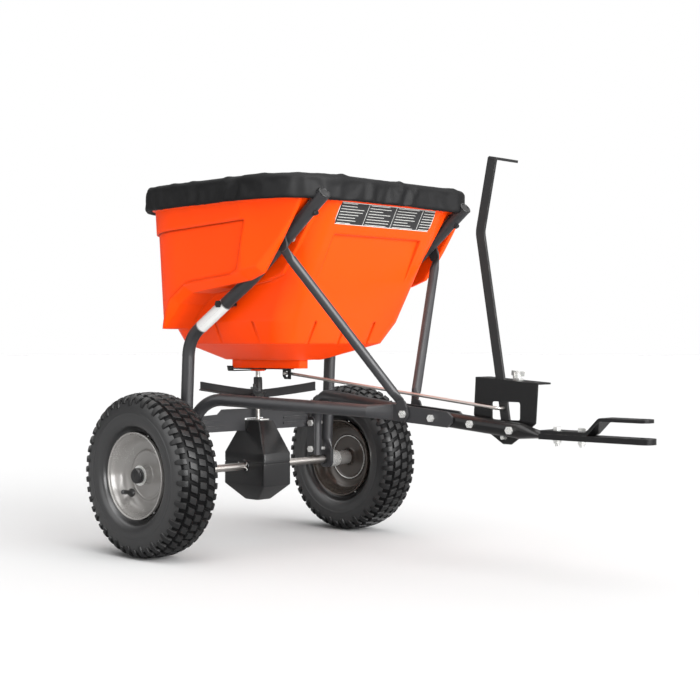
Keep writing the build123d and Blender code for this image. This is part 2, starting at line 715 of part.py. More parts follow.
with BuildPart() as impeller:
    with BuildSketch(Plane(origin=(AXLE_X, 0, 0), x_dir=(1, 0, 0), z_dir=(0, -1, 0))):
        with BuildLine():
            Polyline((SHAFT_R + FIT, 308), (9.2, 308), (22, 311), (60, 313), (121, 322), (121, 325), (60, 316),
                     (22, 314), (9.2, 318), (9.2, 354), (SHAFT_R + FIT, 354), close=True)
        make_face()
    revolve(axis=Axis(origin=(AXLE_X, 0, 0), direction=(0, 0, 1)))
    for index in range(BLADES):
        spoke = radians(360 * index / BLADES + 8)
        blade = Plane(origin=(AXLE_X, 0, 0), x_dir=(cos(spoke), sin(spoke), 0), z_dir=(sin(spoke), -cos(spoke), 0))
        with BuildSketch(blade):
            with BuildLine():
                Polyline((8.5, 312), (60, 314), (121, 323), (125, 324), (125, 338), (60, 331), (24, 331), (8.5, 344),
                         close=True)
            make_face()
        extrude(amount=1.5, both=True)
        with BuildSketch(blade.offset(-8)):
            with BuildLine():
                Polyline((60, 328), (125, 335), (125, 338), (60, 331), close=True)
            make_face()
        extrude(amount=9)
save(impeller, "impeller")

with BuildPart() as agitator:
    with BuildSketch(across(-30, 0, 404)):
        with Locations((0, 0)):
            Circle(2.5)
    extrude(amount=60)
    with BuildSketch(level(398)):
        Circle(9)
        Circle(SHAFT_R + FIT, mode=Mode.SUBTRACT)
    extrude(amount=12)
    add(drill(level(404), SHAFT_R + FIT, 12), mode=Mode.SUBTRACT)
save(agitator, "agitator")

# ---- axle and wheels ------------------------------------------------------------------------
with BuildPart() as axle:
    with BuildSketch(upright(0, 0, AXLE_Z)):
        Circle(AXLE_R)
    extrude(amount=324, both=True)
    for side in (-1, 1):
        add(drill(across(0, side * 249, AXLE_Z), 3 + FIT, 20), mode=Mode.SUBTRACT)
save(axle, "axle")

with BuildPart() as drive_pin:
    with BuildSketch(across(-22, -249, AXLE_Z)):
        Circle(3)
    extrude(amount=44)
save(drive_pin, "drive_pin")


def turned(side, outline):
    """A turned piece on the axle. The outline's points are radius and distance outboard of the wheel's middle."""
    lathe = Plane(origin=(AXLE_X, side * WHEEL_Y, AXLE_Z), x_dir=(1, 0, 0), z_dir=(0, 0, side))
    with BuildPart() as piece:
        with BuildSketch(lathe):
            with BuildLine():
                Polyline(*outline, close=True)
            make_face()
        revolve(axis=Axis(origin=(AXLE_X, 0, AXLE_Z), direction=(0, 1, 0)))
    return piece.part


BORE = AXLE_R + FIT
TYRE = ((BEAD_R + 0.3, 25), (BEAD_R + 0.3, 34.5), (89.5, 35.8), (95, 44), (108, 50), (126, 51.5), (143, 49), (153, 45),
        (160, 37), (164, 22), (165, 0))
TYRE_INNER = ((158, 0), (157, 20), (151, 34), (142, 41), (126, 44.5), (108, 43), (92, 33), (84, 25))
RIM = ((HUB_R + 0.2, 8), (50.5, 8), (53, 1.5), (70, 0.3), (74, 4), (BEAD_R - 0.2, 10), (BEAD_R - 0.2, 35.7), (88, 37),
       (88, 39.5), (84, 39.5), (74, 37.8), (73.4, 10), (71.5, 5.5), (69, 2.8), (55, 4), (52.5, 10.5),
       (HUB_R + 0.2, 10.5))
HUB = ((BORE, -50), (HUB_R, -50), (HUB_R, 24.5), (BORE, 24.5))

for name, side in SIDES:
    with BuildPart() as tyre:
        ring = list(TYRE) + [(r, -w) for r, w in reversed(TYRE[:-1])]
        cavity = [(r, -w) for r, w in reversed(TYRE_INNER[1:])] + list(TYRE_INNER)
        add(turned(side, ring + cavity))
    save(tyre, f"tyre_{name}")
    for half_name, flip in (("outer", 1), ("inner", -1)):
        with BuildPart() as rim:
            add(turned(side, [(r, flip * w) for r, w in RIM]))
            if flip > 0:
                add(drill(Plane(origin=(AXLE_X + 64, side * WHEEL_Y, AXLE_Z), z_dir=(0, 1, 0)), 4.3, 30),
                    mode=Mode.SUBTRACT)
        save(rim, f"rim_{half_name}_{name}")
    with BuildPart() as hub:
        add(turned(side, HUB))
        if side < 0:
            add(drill(across(0, -249, AXLE_Z), 3 + FIT, 30), mode=Mode.SUBTRACT)
    save(hub, f"hub_{name}")
    with BuildPart() as spacer:
        add(turned(side, ((BORE, -78), (18, -78), (18, -51), (BORE, -51))))
    save(spacer, f"axle_spacer_{name}")
    with BuildPart() as washer:
        add(turned(side, ((BORE, 25), (20, 25), (20, 27), (BORE, 27))))
    save(washer, f"axle_washer_{name}")
    with BuildPart() as cap:
        add(turned(side, ((0, 33.6), (BORE, 33.6), (BORE, 27.4), (15.5, 27.4), (15.5, 35), (13, 38), (0, 39))))
    save(cap, f"axle_cap_{name}")
    with BuildPart() as valve:
        with BuildSketch(Plane(origin=(AXLE_X + 64, side * (WHEEL_Y + 0.6), AXLE_Z), z_dir=(0, side, 0))):
            Circle(4)
        extrude(amount=26)
    save(valve, f"valve_{name}")

# ---- cover ----------------------------------------------------------------------------------
with BuildPart() as cover:
    with BuildSketch(level(LEDGE_Z)):
        add(rim_outline(LIP + 10))
    extrude(amount=RIM_Z + 4 - LEDGE_Z)
    with BuildSketch(level(RIM_Z + 4)):
        add(rim_outline(LIP + 8))
    with BuildSketch(level(RIM_Z + 13)):
        add(rim_outline(-90))
    loft(ruled=True)
    with BuildSketch(level(LEDGE_Z)):
        add(rim_outline(LIP + 0.4))
    extrude(amount=RIM_Z + 0.4 - LEDGE_Z, mode=Mode.SUBTRACT)
    for side in (-1, 1):
        with BuildSketch(level(LEDGE_Z, 405, side * LEG_Y)):
            Rectangle(44, 32)
        extrude(amount=22, mode=Mode.SUBTRACT)
save(cover, "cover")
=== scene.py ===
"""Looks of a tow-behind broadcast spreader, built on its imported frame. All sizes are in metres."""
import json
from math import cos, pi, radians, sin, sqrt

import bmesh
import bpy
import numpy as np
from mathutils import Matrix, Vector


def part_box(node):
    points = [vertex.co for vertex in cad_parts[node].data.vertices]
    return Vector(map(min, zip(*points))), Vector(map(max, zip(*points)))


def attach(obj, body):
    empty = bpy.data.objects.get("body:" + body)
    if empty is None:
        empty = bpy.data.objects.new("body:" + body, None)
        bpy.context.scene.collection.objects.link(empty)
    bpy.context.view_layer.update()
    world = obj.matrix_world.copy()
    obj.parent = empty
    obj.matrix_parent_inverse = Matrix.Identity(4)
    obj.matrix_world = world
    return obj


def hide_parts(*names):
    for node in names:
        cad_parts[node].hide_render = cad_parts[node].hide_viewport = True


bl_info = {
    "name": "Broadcast spreader",
    "version": (1, 0, 0),
    "blender": (4, 5, 0),
    "location": "3D View > Sidebar > Spreader",
    "description": "Finishes a tow-behind broadcast spreader",
    "category": "Object",
}

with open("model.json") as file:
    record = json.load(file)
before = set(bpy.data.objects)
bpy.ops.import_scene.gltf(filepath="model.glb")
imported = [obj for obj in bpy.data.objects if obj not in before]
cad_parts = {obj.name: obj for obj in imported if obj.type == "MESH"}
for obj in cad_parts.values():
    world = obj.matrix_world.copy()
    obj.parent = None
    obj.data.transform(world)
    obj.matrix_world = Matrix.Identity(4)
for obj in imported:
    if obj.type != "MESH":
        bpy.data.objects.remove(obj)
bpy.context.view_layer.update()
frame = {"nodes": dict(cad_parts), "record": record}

AXLE_X = (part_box("axle")[0][0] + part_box("axle")[1][0]) / 2
AXLE_Z = (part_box("axle")[0][2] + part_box("axle")[1][2]) / 2
SIDES = (("right", -1), ("left", 1))
WHEEL_BODY = {"right": "axle", "left": "free_wheel"}
LEG_Y = 0.205


# ---- shader node helpers ----
def link(tree, source, target):
    """Links two sockets."""
    tree.links.new(source, target)


def sock(tree, kind, inputs=None, out=0, **props):
    """Adds a node, feeds its inputs with values or sockets and returns an output socket."""
    node = tree.nodes.new(kind)
    for key, value in props.items():
        setattr(node, key, value)
    for key, value in (inputs or {}).items():
        if isinstance(value, bpy.types.NodeSocket):
            tree.links.new(value, node.inputs[key])
        else:
            node.inputs[key].default_value = value
    return node.outputs[out]


def new_group(name, inputs, outputs):
    """An empty shader node group with named sockets."""
    group = bpy.data.node_groups.new(name, "ShaderNodeTree")
    for label, kind, default in inputs:
        item = group.interface.new_socket(label, in_out="INPUT", socket_type=kind)
        item.default_value = default
    for label, kind in outputs:
        group.interface.new_socket(label, in_out="OUTPUT", socket_type=kind)
    return group, group.nodes.new("NodeGroupInput"), group.nodes.new("NodeGroupOutput")


COLOR, FLOAT, VECTOR = "NodeSocketColor", "NodeSocketFloat", "NodeSocketVector"


def mixed(tree, factor, low, high, blend="MIX"):
    """A colour mix whose ends are colours or sockets."""
    node = tree.nodes.new("ShaderNodeMix")
    node.data_type = "RGBA"
    node.blend_type = blend
    for index, value in ((0, factor), (6, low), (7, high)):
        if isinstance(value, bpy.types.NodeSocket):
            tree.links.new(value, node.inputs[index])
        else:
            node.inputs[index].default_value = value
    return node.outputs[2]


def calc(tree, operation, *values):
    """A Math node over values or sockets."""
    return sock(tree, "ShaderNodeMath", dict(enumerate(values)), operation=operation)


def remap(tree, value, low, high, to_low=0.0, to_high=1.0, **props):
    """A Map Range node from low..high to to_low..to_high."""
    return sock(tree, "ShaderNodeMapRange", {0: value, 1: low, 2: high, 3: to_low, 4: to_high}, **props)


def noise(tree, scale, detail):
    """Noise over the object's own coordinates."""
    place = sock(tree, "ShaderNodeTexCoord", out=3)
    return sock(tree, "ShaderNodeTexNoise", {"Vector": place, "Scale": scale, "Detail": detail})


def edge_wear_group():
    """Mask of the edges that get rubbed, broken up by noise."""
    group, gin, gout = new_group("Edge Wear", (("Width", FLOAT, 0.002), ("Breakup", FLOAT, 60.0),
                                               ("Amount", FLOAT, 1.0)), (("Mask", FLOAT),))
    bevel = sock(group, "ShaderNodeBevel", {"Radius": gin.outputs["Width"]}, samples=4)
    normal = sock(group, "ShaderNodeNewGeometry", out=1)
    facing = sock(group, "ShaderNodeVectorMath", {0: bevel, 1: normal}, out=1, operation="DOT_PRODUCT")
    edge = remap(group, facing, 0.995, 0.9)
    broken = remap(group, noise(group, gin.outputs["Breakup"], 5.0), 0.45, 0.62)
    mask = calc(group, "MULTIPLY", calc(group, "MULTIPLY", edge, broken), gin.outputs["Amount"])
    link(group, mask, gout.inputs[0])
    return group


def mottle_group():
    """Slow colour drift and fine speckle over a surface."""
    group, gin, gout = new_group("Mottle", (("Color", COLOR, (0.5, 0.5, 0.5, 1)), ("Drift Scale", FLOAT, 6.0),
                                            ("Drift", FLOAT, 0.1), ("Speckle Scale", FLOAT, 400.0),
                                            ("Speckle", FLOAT, 0.05)), (("Color", COLOR), ("Rough", FLOAT)))
    low = calc(group, "SUBTRACT", noise(group, gin.outputs["Drift Scale"], 6.0), 0.5)
    fine = calc(group, "SUBTRACT", noise(group, gin.outputs["Speckle Scale"], 2.0), 0.5)
    total = calc(group, "ADD", calc(group, "MULTIPLY", low, gin.outputs["Drift"]),
                 calc(group, "MULTIPLY", fine, gin.outputs["Speckle"]))
    color = sock(group, "ShaderNodeVectorMath", {0: gin.outputs["Color"], "Scale": calc(group, "ADD", total, 1.0)},
                 operation="SCALE")
    link(group, color, gout.inputs["Color"])
    link(group, total, gout.inputs["Rough"])
    return group


def grain_group():
    """Height of a fine moulded or sprayed grain, with a slower waviness."""
    group, gin, gout = new_group("Surface Grain", (("Grain Scale", FLOAT, 900.0), ("Wave Scale", FLOAT, 12.0),
                                                   ("Wave", FLOAT, 0.5)), (("Height", FLOAT),))
    grain = calc(group, "MULTIPLY", noise(group, gin.outputs["Grain Scale"], 3.0), 0.06)
    wave = calc(group, "MULTIPLY", noise(group, gin.outputs["Wave Scale"], 2.0), gin.outputs["Wave"])
    link(group, calc(group, "ADD", wave, grain), gout.inputs[0])
    return group


def dust_group():
    """Mask of dust that has settled in patches on upward faces."""
    group, gin, gout = new_group("Dust", (("Amount", FLOAT, 0.3), ("Scale", FLOAT, 35.0)), (("Mask", FLOAT),))
    normal = sock(group, "ShaderNodeNewGeometry", out=1)
    up = remap(group, sock(group, "ShaderNodeSeparateXYZ", {0: normal}, out=2), 0.2, 1.0)
    patches = remap(group, noise(group, gin.outputs["Scale"], 7.0), 0.4, 0.75)
    mask = calc(group, "MULTIPLY", calc(group, "MULTIPLY", up, patches), gin.outputs["Amount"])
    link(group, mask, gout.inputs[0])
    return group


def chart_group():
    """Mask of a plain ruled chart over a label's 0 to 1 coordinates: a border, columns and short bars in rows."""
    group, gin, gout = new_group("Ruled Chart", (("Rows", FLOAT, 8.0), ("Columns", FLOAT, 4.0), ("Line", FLOAT, 0.03),
                                                 ("Bar", FLOAT, 0.3)), (("Mask", FLOAT),))
    place = sock(group, "ShaderNodeUVMap")
    axes = group.nodes.new("ShaderNodeSeparateXYZ")
    link(group, place, axes.inputs[0])
    u, v = axes.outputs[0], axes.outputs[1]

    def op(operation, *values):
        return calc(group, operation, *values)

    column = op("MULTIPLY", u, gin.outputs["Columns"])
    row = op("MULTIPLY", v, gin.outputs["Rows"])
    near_column = op("LESS_THAN", op("PINGPONG", column, 0.5), gin.outputs["Line"])
    cell = op("ADD", op("MULTIPLY", op("FLOOR", row), 7.31), op("FLOOR", column))
    share = op("FRACT", op("MULTIPLY", op("SINE", op("MULTIPLY", cell, 12.9898)), 437.585))
    length = op("ADD", op("MULTIPLY", share, 0.35), 0.55)
    along = op("FRACT", column)
    inside = op("MULTIPLY", op("GREATER_THAN", along, 0.07), op("LESS_THAN", along, length))
    off_row = op("ABSOLUTE", op("SUBTRACT", op("FRACT", row), 0.5))
    bar = op("LESS_THAN", off_row, op("MULTIPLY", gin.outputs["Bar"], 0.5))
    bar = op("MULTIPLY", bar, inside)
    edge_u = op("GREATER_THAN", op("ABSOLUTE", op("SUBTRACT", u, 0.5)), 0.495)
    edge_v = op("GREATER_THAN", op("ABSOLUTE", op("SUBTRACT", v, 0.5)), 0.472)
    total = op("MAXIMUM", op("MAXIMUM", edge_u, edge_v), op("MAXIMUM", near_column, bar))
    link(group, total, gout.inputs[0])
    return group


GROUPS = {}
MATERIALS = {}


def use(tree, name, **inputs):
    """Places a shared node group in a material and sets or feeds its inputs."""
    node = tree.nodes.new("ShaderNodeGroup")
    node.node_tree = GROUPS[name]
    for key, value in inputs.items():
        key = key.replace("_", " ")
        if isinstance(value, bpy.types.NodeSocket):
            tree.links.new(value, node.inputs[key])
        else:
            node.inputs[key].default_value = value
    return node


def finish(name, color, rough, metallic=0.0, drift=0.1, speckle=0.06, drift_scale=7.0, speckle_scale=500.0,
           wear=None, wear_width=0.0015, wear_amount=0.6, dust=0.0, grain=900.0, wave_scale=14.0,
           wave=0.5, bump=0.1, bump_distance=0.0005, round_edges=0.0008, rough_swing=0.6, **sockets):
    """A material for one finish: drifting colour, worn edges, dust, grain and softened edges."""
    material = bpy.data.materials.new(name)
    material.use_nodes = True
    tree = material.node_tree
    shader = tree.nodes["Principled BSDF"]
    tone = use(tree, "mottle", Color=(*color, 1), Drift=drift, Speckle=speckle, Drift_Scale=drift_scale,
               Speckle_Scale=speckle_scale)
    top = tone.outputs["Color"]
    rough_out = calc(tree, "ADD", calc(tree, "MULTIPLY", tone.outputs["Rough"], rough_swing), rough)
    if wear:
        mask = use(tree, "wear", Width=wear_width, Amount=wear_amount).outputs[0]
        top = mixed(tree, mask, top, (*wear, 1))
        link(tree, remap(tree, mask, 0.0, 1.0, metallic, 1.0), shader.inputs["Metallic"])
    else:
        shader.inputs["Metallic"].default_value = metallic
    if dust:
        mask = use(tree, "dust", Amount=dust).outputs[0]
        top = mixed(tree, mask, top, (0.42, 0.39, 0.34, 1))
        rough_out = calc(tree, "ADD", mask, rough_out)
    link(tree, top, shader.inputs["Base Color"])
    link(tree, rough_out, shader.inputs["Roughness"])
    height = use(tree, "grain", Grain_Scale=grain, Wave_Scale=wave_scale, Wave=wave).outputs[0]
    relief = {"Height": height, "Strength": bump, "Distance": bump_distance}
    if round_edges:
        relief["Normal"] = sock(tree, "ShaderNodeBevel", {"Radius": round_edges}, samples=6)
    link(tree, sock(tree, "ShaderNodeBump", relief), shader.inputs["Normal"])
    for key, value in sockets.items():
        shader.inputs[key.replace("_", " ")].default_value = value
    return material


def printed(name, ground, ink, rough, rows, columns, line, bar):
    """A label's material: ruled chart lines in ink on a plain ground."""
    material = finish(name, ground, rough, drift=0.05, grain=300, bump=0.03, round_edges=0.0)
    tree = material.node_tree
    shader = tree.nodes["Principled BSDF"]
    below = shader.inputs["Base Color"].links[0].from_socket
    mask = use(tree, "chart", Rows=rows, Columns=columns, Line=line, Bar=bar).outputs[0]
    link(tree, mixed(tree, mask, below, (*ink, 1)), shader.inputs["Base Color"])
    return material


def paint_nodes(material, *names):
    """Gives CAD nodes a material."""
    for name in names:
        mesh = frame["nodes"][name].data
        mesh.materials.clear()
        mesh.materials.append(material)


# ---- mesh helpers ----
def curve_through(points, per):
    """A smooth path through the given points, with per steps between each two."""
    pts = [Vector(p) for p in points]
    pts = [2 * pts[0] - pts[1]] + pts + [2 * pts[-1] - pts[-2]]
    out = []
    for i in range(1, len(pts) - 2):
        for k in range(per):
            t = k / per
            a, b, c, d = pts[i - 1:i + 3]
            out.append(0.5 * (2 * b + (c - a) * t + (2 * a - 5 * b + 4 * c - d) * t * t
                              + (3 * b - 3 * c + d - a) * t * t * t))
    return out + [pts[-2]]


def strip_faces(rows, closed=False, loop=False):
    """Quads between rows of vertex numbers. closed joins each row's ends, loop the last row to the first."""
    faces = []
    pairs = list(zip(rows, rows[1:])) + ([(rows[-1], rows[0])] if loop else [])
    for a, b in pairs:
        last = len(a) if closed else len(a) - 1
        for i in range(last):
            j = (i + 1) % len(a)
            faces.append((a[i], a[j], b[j], b[i]))
    return faces


def around(count):
    """The angles of count even steps around a circle."""
    return [2 * pi * k / count for k in range(count)]


def add_row(verts, points):
    """Adds points to verts and gives their numbers."""
    first = len(verts)
    verts.extend(points)
    return list(range(first, len(verts)))


def capped(loops):
    """Faces of a tube through closed loops, with both ends filled."""
    return strip_faces(loops, closed=True) + [tuple(loops[0]), tuple(loops[-1])]


def rim_of(grid):
    """The numbers around the outside of a grid of rows."""
    return grid[0] + [row[-1] for row in grid[1:-1]] + grid[-1][::-1] + [row[0] for row in grid[-2:0:-1]]


def piece(name, verts, faces, material, body, slot_name, sharp=40, uv=None):
    """A named object from points and faces, with outward normals, riding on a body.

    uv is for a print: one place for each point. Its points then stay apart and its faces flat.
    """
    mesh = bpy.data.meshes.new(name)
    mesh.from_pydata([tuple(v) for v in verts], [], faces)
    if uv:
        layer = mesh.uv_layers.new(name="print")
        for loop in mesh.loops:
            layer.data[loop.index].uv = uv[loop.vertex_index]
    form = bmesh.new()
    form.from_mesh(mesh)
    if not uv:
        bmesh.ops.remove_doubles(form, verts=form.verts, dist=1e-6)
    bmesh.ops.recalc_face_normals(form, faces=form.faces)
    form.to_mesh(mesh)
    form.free()
    if not uv:
        mesh.polygons.foreach_set("use_smooth", [True] * len(mesh.polygons))
        mesh.set_sharp_from_angle(angle=radians(sharp))
    mesh.materials.append(material)
    obj = bpy.data.objects.new(name, mesh)
    bpy.context.scene.collection.objects.link(obj)
    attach(obj, body)
    return obj


# ---- tyres ----
# Profiles of the wheels are (radius, distance out from the wheel's middle), from the crown inwards.
CARCASS = ((0.1608, 0.0), (0.1604, 0.012), (0.1592, 0.0235), (0.1563, 0.0335), (0.1510, 0.0410), (0.1430, 0.0452),
           (0.1310, 0.0476), (0.1190, 0.0481), (0.1085, 0.0472), (0.1020, 0.0450), (0.0985, 0.0420), (0.0958, 0.0375),
           (0.0930, 0.0342), (0.0900, 0.0326), (0.0872, 0.0318), (0.0868, 0.0290))
CARCASS_TURNS = 150
CARCASS_STEPS = 66
LUG_TOP = 0.1649
# Radius out from which the carcass carries the painted shade of the grooves.
GROOVES_FROM = 0.150
RIB_SPAN = (0.0705, 0.0725)
RIB_RISE = 0.0008
# The blocks' places are arc lengths from the middle of the crown.
CENTRE_HALF = 0.0085
MIDDLE_SPAN = (0.0125, 0.0285)
MIDDLE_RISE = 0.0041
SHOULDER_FROM = 0.0325
SHOULDER_TO = (0.0515, 0.0575)
BLOCK_ACROSS = (-1, -0.4, 0.4, 1)
BLOCK_DRAFT = 0.0011
BLOCK_ROUNDING = 0.16
BLOCK_SINK = 0.0006
BLOCK_RADIUS = 0.162


def wheel_hub(name):
    """The middle of a wheel."""
    low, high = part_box(f"tyre_{name}")
    return Vector([(a + b) / 2 for a, b in zip(low, high)])


class TyreSurface:
    """The tyre's outside as a path from the crown to the bead, read by arc length."""

    def __init__(self, hub, side):
        self.hub, self.side = hub, side
        self.path = curve_through([(r, w, 0) for r, w in CARCASS], 6)
        self.along = [0.0]
        for a, b in zip(self.path, self.path[1:]):
            self.along.append(self.along[-1] + (b - a).length)

    def at(self, s, turn, lift=0.0):
        """The point at arc length s (negative on the inner half), turned about the axle and lifted."""
        way = -1 if s < 0 else 1
        s = abs(s)
        i = min(max(int(np.searchsorted(self.along, s)) - 1, 0), len(self.path) - 2)
        a, b = self.path[i], self.path[i + 1]
        t = (s - self.along[i]) / (self.along[i + 1] - self.along[i])
        point = a + (b - a) * t
        tangent = (b - a).normalized()
        radius = point.x + tangent.y * lift
        width = (point.y - tangent.x * lift) * way * self.side
        return self.hub + Vector((radius * cos(turn), width, radius * sin(turn)))


def tread_block(verts, faces, surface, span, turns, rise, rows, skew=0.0, taper=0.0):
    """One raised block with sloping walls. rise gives its height at each arc length."""
    mid, half = sum(turns) / 2, (turns[1] - turns[0]) / 2
    way = 1 if span[1] > span[0] else -1
    top_and_foot = []
    for inset, sunk in ((BLOCK_DRAFT, False), (0.0, True)):
        start, end = span[0] + inset * way, span[1] - inset * way
        grid = []
        for i in range(rows + 1):
            t = i / rows
            s = start + (end - start) * t
            wide = half * (1 - taper * max(0.0, t - 0.45) ** 2 / 0.3) - inset / BLOCK_RADIUS
            lean = skew * (t - 0.5)
            row = []
            for k in BLOCK_ACROSS:
                edges = (abs(k) == 1) + (i in (0, rows))
                lift = -BLOCK_SINK if sunk else rise(abs(s)) - BLOCK_ROUNDING * BLOCK_DRAFT * edges
                row.append(surface.at(s, mid + lean + wide * k, lift))
            grid.append(add_row(verts, row))
        top_and_foot.append(grid)
    faces.extend(strip_faces(top_and_foot[0]))
    faces.extend(strip_faces([rim_of(grid) for grid in top_and_foot], closed=True))


def shoulder_rise(s):
    """Height of the shoulder blocks, which fade out down the sidewall."""
    return 0.0046 - 0.0026 * max(0.0, (s - 0.042) / 0.015) ** 1.3


def tyre(name, side, rubber, groove, tread):
    """A pneumatic tyre: a smooth carcass with painted shade in its crown's grooves, rounded shoulder blocks and three
    rings of tread blocks.
    """
    surface = TyreSurface(wheel_hub(name), side)
    total = surface.along[-1]
    body = WHEEL_BODY[name]
    verts, rings = [], []
    for turn in around(CARCASS_TURNS):
        ring = []
        for i in range(-CARCASS_STEPS, CARCASS_STEPS + 1):
            s = total * i / CARCASS_STEPS
            rib = RIB_RISE * (RIB_SPAN[0] < abs(s) < RIB_SPAN[1])
            ring.append(surface.at(s if i else 1e-6, turn, rib))
        rings.append(add_row(verts, ring))
    carcass = piece(f"carcass_{name}", verts, strip_faces(rings, loop=True), rubber, body, "rubber", sharp=60)
    # The crown between the blocks gets the darker, duller groove material: painted shade in the grooves.
    carcass.data.materials.append(groove)
    for face in carcass.data.polygons:
        radius = sqrt((face.center.x - AXLE_X) ** 2 + (face.center.z - AXLE_Z) ** 2)
        face.material_index = int(radius > GROOVES_FROM)
    verts, faces = [], []
    count = bpy.context.scene.spreader_sizes.tread_blocks
    pitch = 2 * pi / count
    for k, turn in enumerate(around(count)):
        for way in (-1, 1):
            start = turn + 0.5 * pitch * (way > 0)
            tread_block(verts, faces, surface, (SHOULDER_FROM * way, SHOULDER_TO[k % 2] * way),
                        (start, start + 0.6 * pitch), shoulder_rise, 5, 0.06 * pitch * way, 0.35)
            tread_block(verts, faces, surface, (MIDDLE_SPAN[0] * way, MIDDLE_SPAN[1] * way),
                        (start + 0.45 * pitch, start + 1.12 * pitch), lambda s: MIDDLE_RISE, 2, 0.28 * pitch * way)
        tread_block(verts, faces, surface, (-CENTRE_HALF, CENTRE_HALF), (turn + 0.2 * pitch, turn + 0.86 * pitch),
                    lambda s: LUG_TOP - surface.path[0].x, 2, 0.15 * pitch)
    piece(f"tread_{name}", verts, faces, tread, body, "rubber", sharp=35)
    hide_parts(f"tyre_{name}")


# ---- wheels ----
DISH = ((0.0856, 0.0310), (0.0864, 0.0372), (0.0869, 0.0394), (0.0858, 0.0408), (0.0842, 0.0404), (0.0832, 0.0386),
        (0.0826, 0.0355), (0.0815, 0.0330), (0.0794, 0.0285), (0.0766, 0.0215), (0.0730, 0.0145), (0.0680, 0.0090),
        (0.0615, 0.0062), (0.0545, 0.0052), (0.0515, 0.0056), (0.0500, 0.0068), (0.0484, 0.0078), (0.0462, 0.0078),
        (0.0440, 0.0070), (0.0300, 0.0064), (0.0205, 0.0068), (0.0185, 0.0082), (0.0172, 0.0110), (0.0166, 0.0150),
        (0.0161, 0.0151))


# A bright zinc wire on the back dish's raised ring: a painted highlight along that ridge.
HIGHLIGHT_RING = (0.0488, 0.0085)
HIGHLIGHT_RING_WIRE = 0.0013
AXLE_CUP = ((0.0162, 0.0550), (0.0172, 0.0560), (0.0176, 0.0585), (0.0176, 0.0640), (0.0168, 0.0665),
            (0.0150, 0.0672), (0.0144, 0.0690), (0.0126, 0.0700), (0.0082, 0.0700), (0.0082, 0.0550),
            (0.0162, 0.0550))
VALVE = ((0.0085, 0.0), (0.0084, 0.0030), (0.0062, 0.0055), (0.0047, 0.0085), (0.0043, 0.0150), (0.0040, 0.0175),
         (0.0046, 0.0180), (0.0048, 0.0270), (0.0042, 0.0285), (0.0020, 0.0290))
VALVE_CAP = (0.0178, 0.028)
VALVE_RADIUS = 0.064
VALVE_OUT = 0.0065
VALVE_TURN = {"right": 218, "left": 40}


def revolved(name, hub, side, profile, material, body, slot_name, turns=96, sharp=50):
    """A ring-shaped piece turned about a wheel's axle from (radius, distance out) points."""
    verts = []
    rings = [add_row(verts, [hub + Vector((r * cos(turn), w * side, r * sin(turn))) for r, w in profile])
             for turn in around(turns)]
    return piece(name, verts, strip_faces(rings, loop=True), material, body, slot_name, sharp=sharp)


def wheel_dishes(name, side, front, back, bright):
    """The dished halves of a wheel, with a bright ring painted as a highlight on the back one's ridge, and an axle
    cup on the back one.
    """
    hub, body = wheel_hub(name), WHEEL_BODY[name]
    path = [(p.x, p.y) for p in curve_through([(r, w, 0) for r, w in DISH], 3)]
    outer = revolved(f"dish_outer_{name}", hub, side, path, front, body, "rim_paint")
    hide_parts(f"rim_outer_{name}")
    inner = revolved(f"dish_inner_{name}", hub, -side, path, back, body, "rim_back")
    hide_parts(f"rim_inner_{name}")
    # The bright ring is a painted highlight on the dish's ridge.
    (radius, out), wire = HIGHLIGHT_RING, HIGHLIGHT_RING_WIRE
    ring = [(radius + wire * cos(a), out + wire * sin(a)) for a in around(8) + [2 * pi]]
    revolved(f"wear_ring_{name}", hub, -side, ring, bright, body, "zinc")
    revolved(f"axle_cup_{name}", hub, -side, AXLE_CUP, bright, body, "zinc", 48, 30)


def tyre_valve(name, side, rubber):
    """A snap-in valve: a flared rubber base, a stem and a ribbed cap, set in the dish."""
    turn = radians(VALVE_TURN[name])
    spoke = Vector((cos(turn), 0, sin(turn)))
    foot = wheel_hub(name) + spoke * VALVE_RADIUS + Vector((0, side * VALVE_OUT, 0))
    lean = (Vector((0, side, 0)) - spoke * 0.25).normalized()
    flat = lean.cross(Vector((1, 0, 0))).normalized()
    other = lean.cross(flat)
    verts, rings = [], []
    for r, rise in VALVE:
        sizes = (r, r * 1.06 if VALVE_CAP[0] < rise < VALVE_CAP[1] else r)
        rings.append(add_row(verts, [foot + lean * rise + (flat * cos(a) + other * sin(a)) * sizes[k % 2]
                                     for k, a in enumerate(around(32))]))
    valve = piece(f"valve_stem_{name}", verts, capped(rings), rubber, WHEEL_BODY[name], "rubber", sharp=35)
    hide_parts(f"valve_{name}")


# ---- gearbox ----
CASE = ((0.0925, 0.0195, 0.0195, 0.0185), (0.0935, 0.0215, 0.0215, 0.0200), (0.1250, 0.0638, 0.0608, 0.0388),
        (0.1270, 0.0645, 0.0615, 0.0393), (0.1715, 0.0645, 0.0615, 0.0393), (0.1720, 0.0634, 0.0604, 0.0383),
        (0.1735, 0.0634, 0.0604, 0.0383), (0.1740, 0.0642, 0.0612, 0.0391), (0.1925, 0.0642, 0.0612, 0.0391),
        (0.1945, 0.0632, 0.0602, 0.0384), (0.2600, 0.0285, 0.0285, 0.0205), (0.2612, 0.0270, 0.0270, 0.0190))


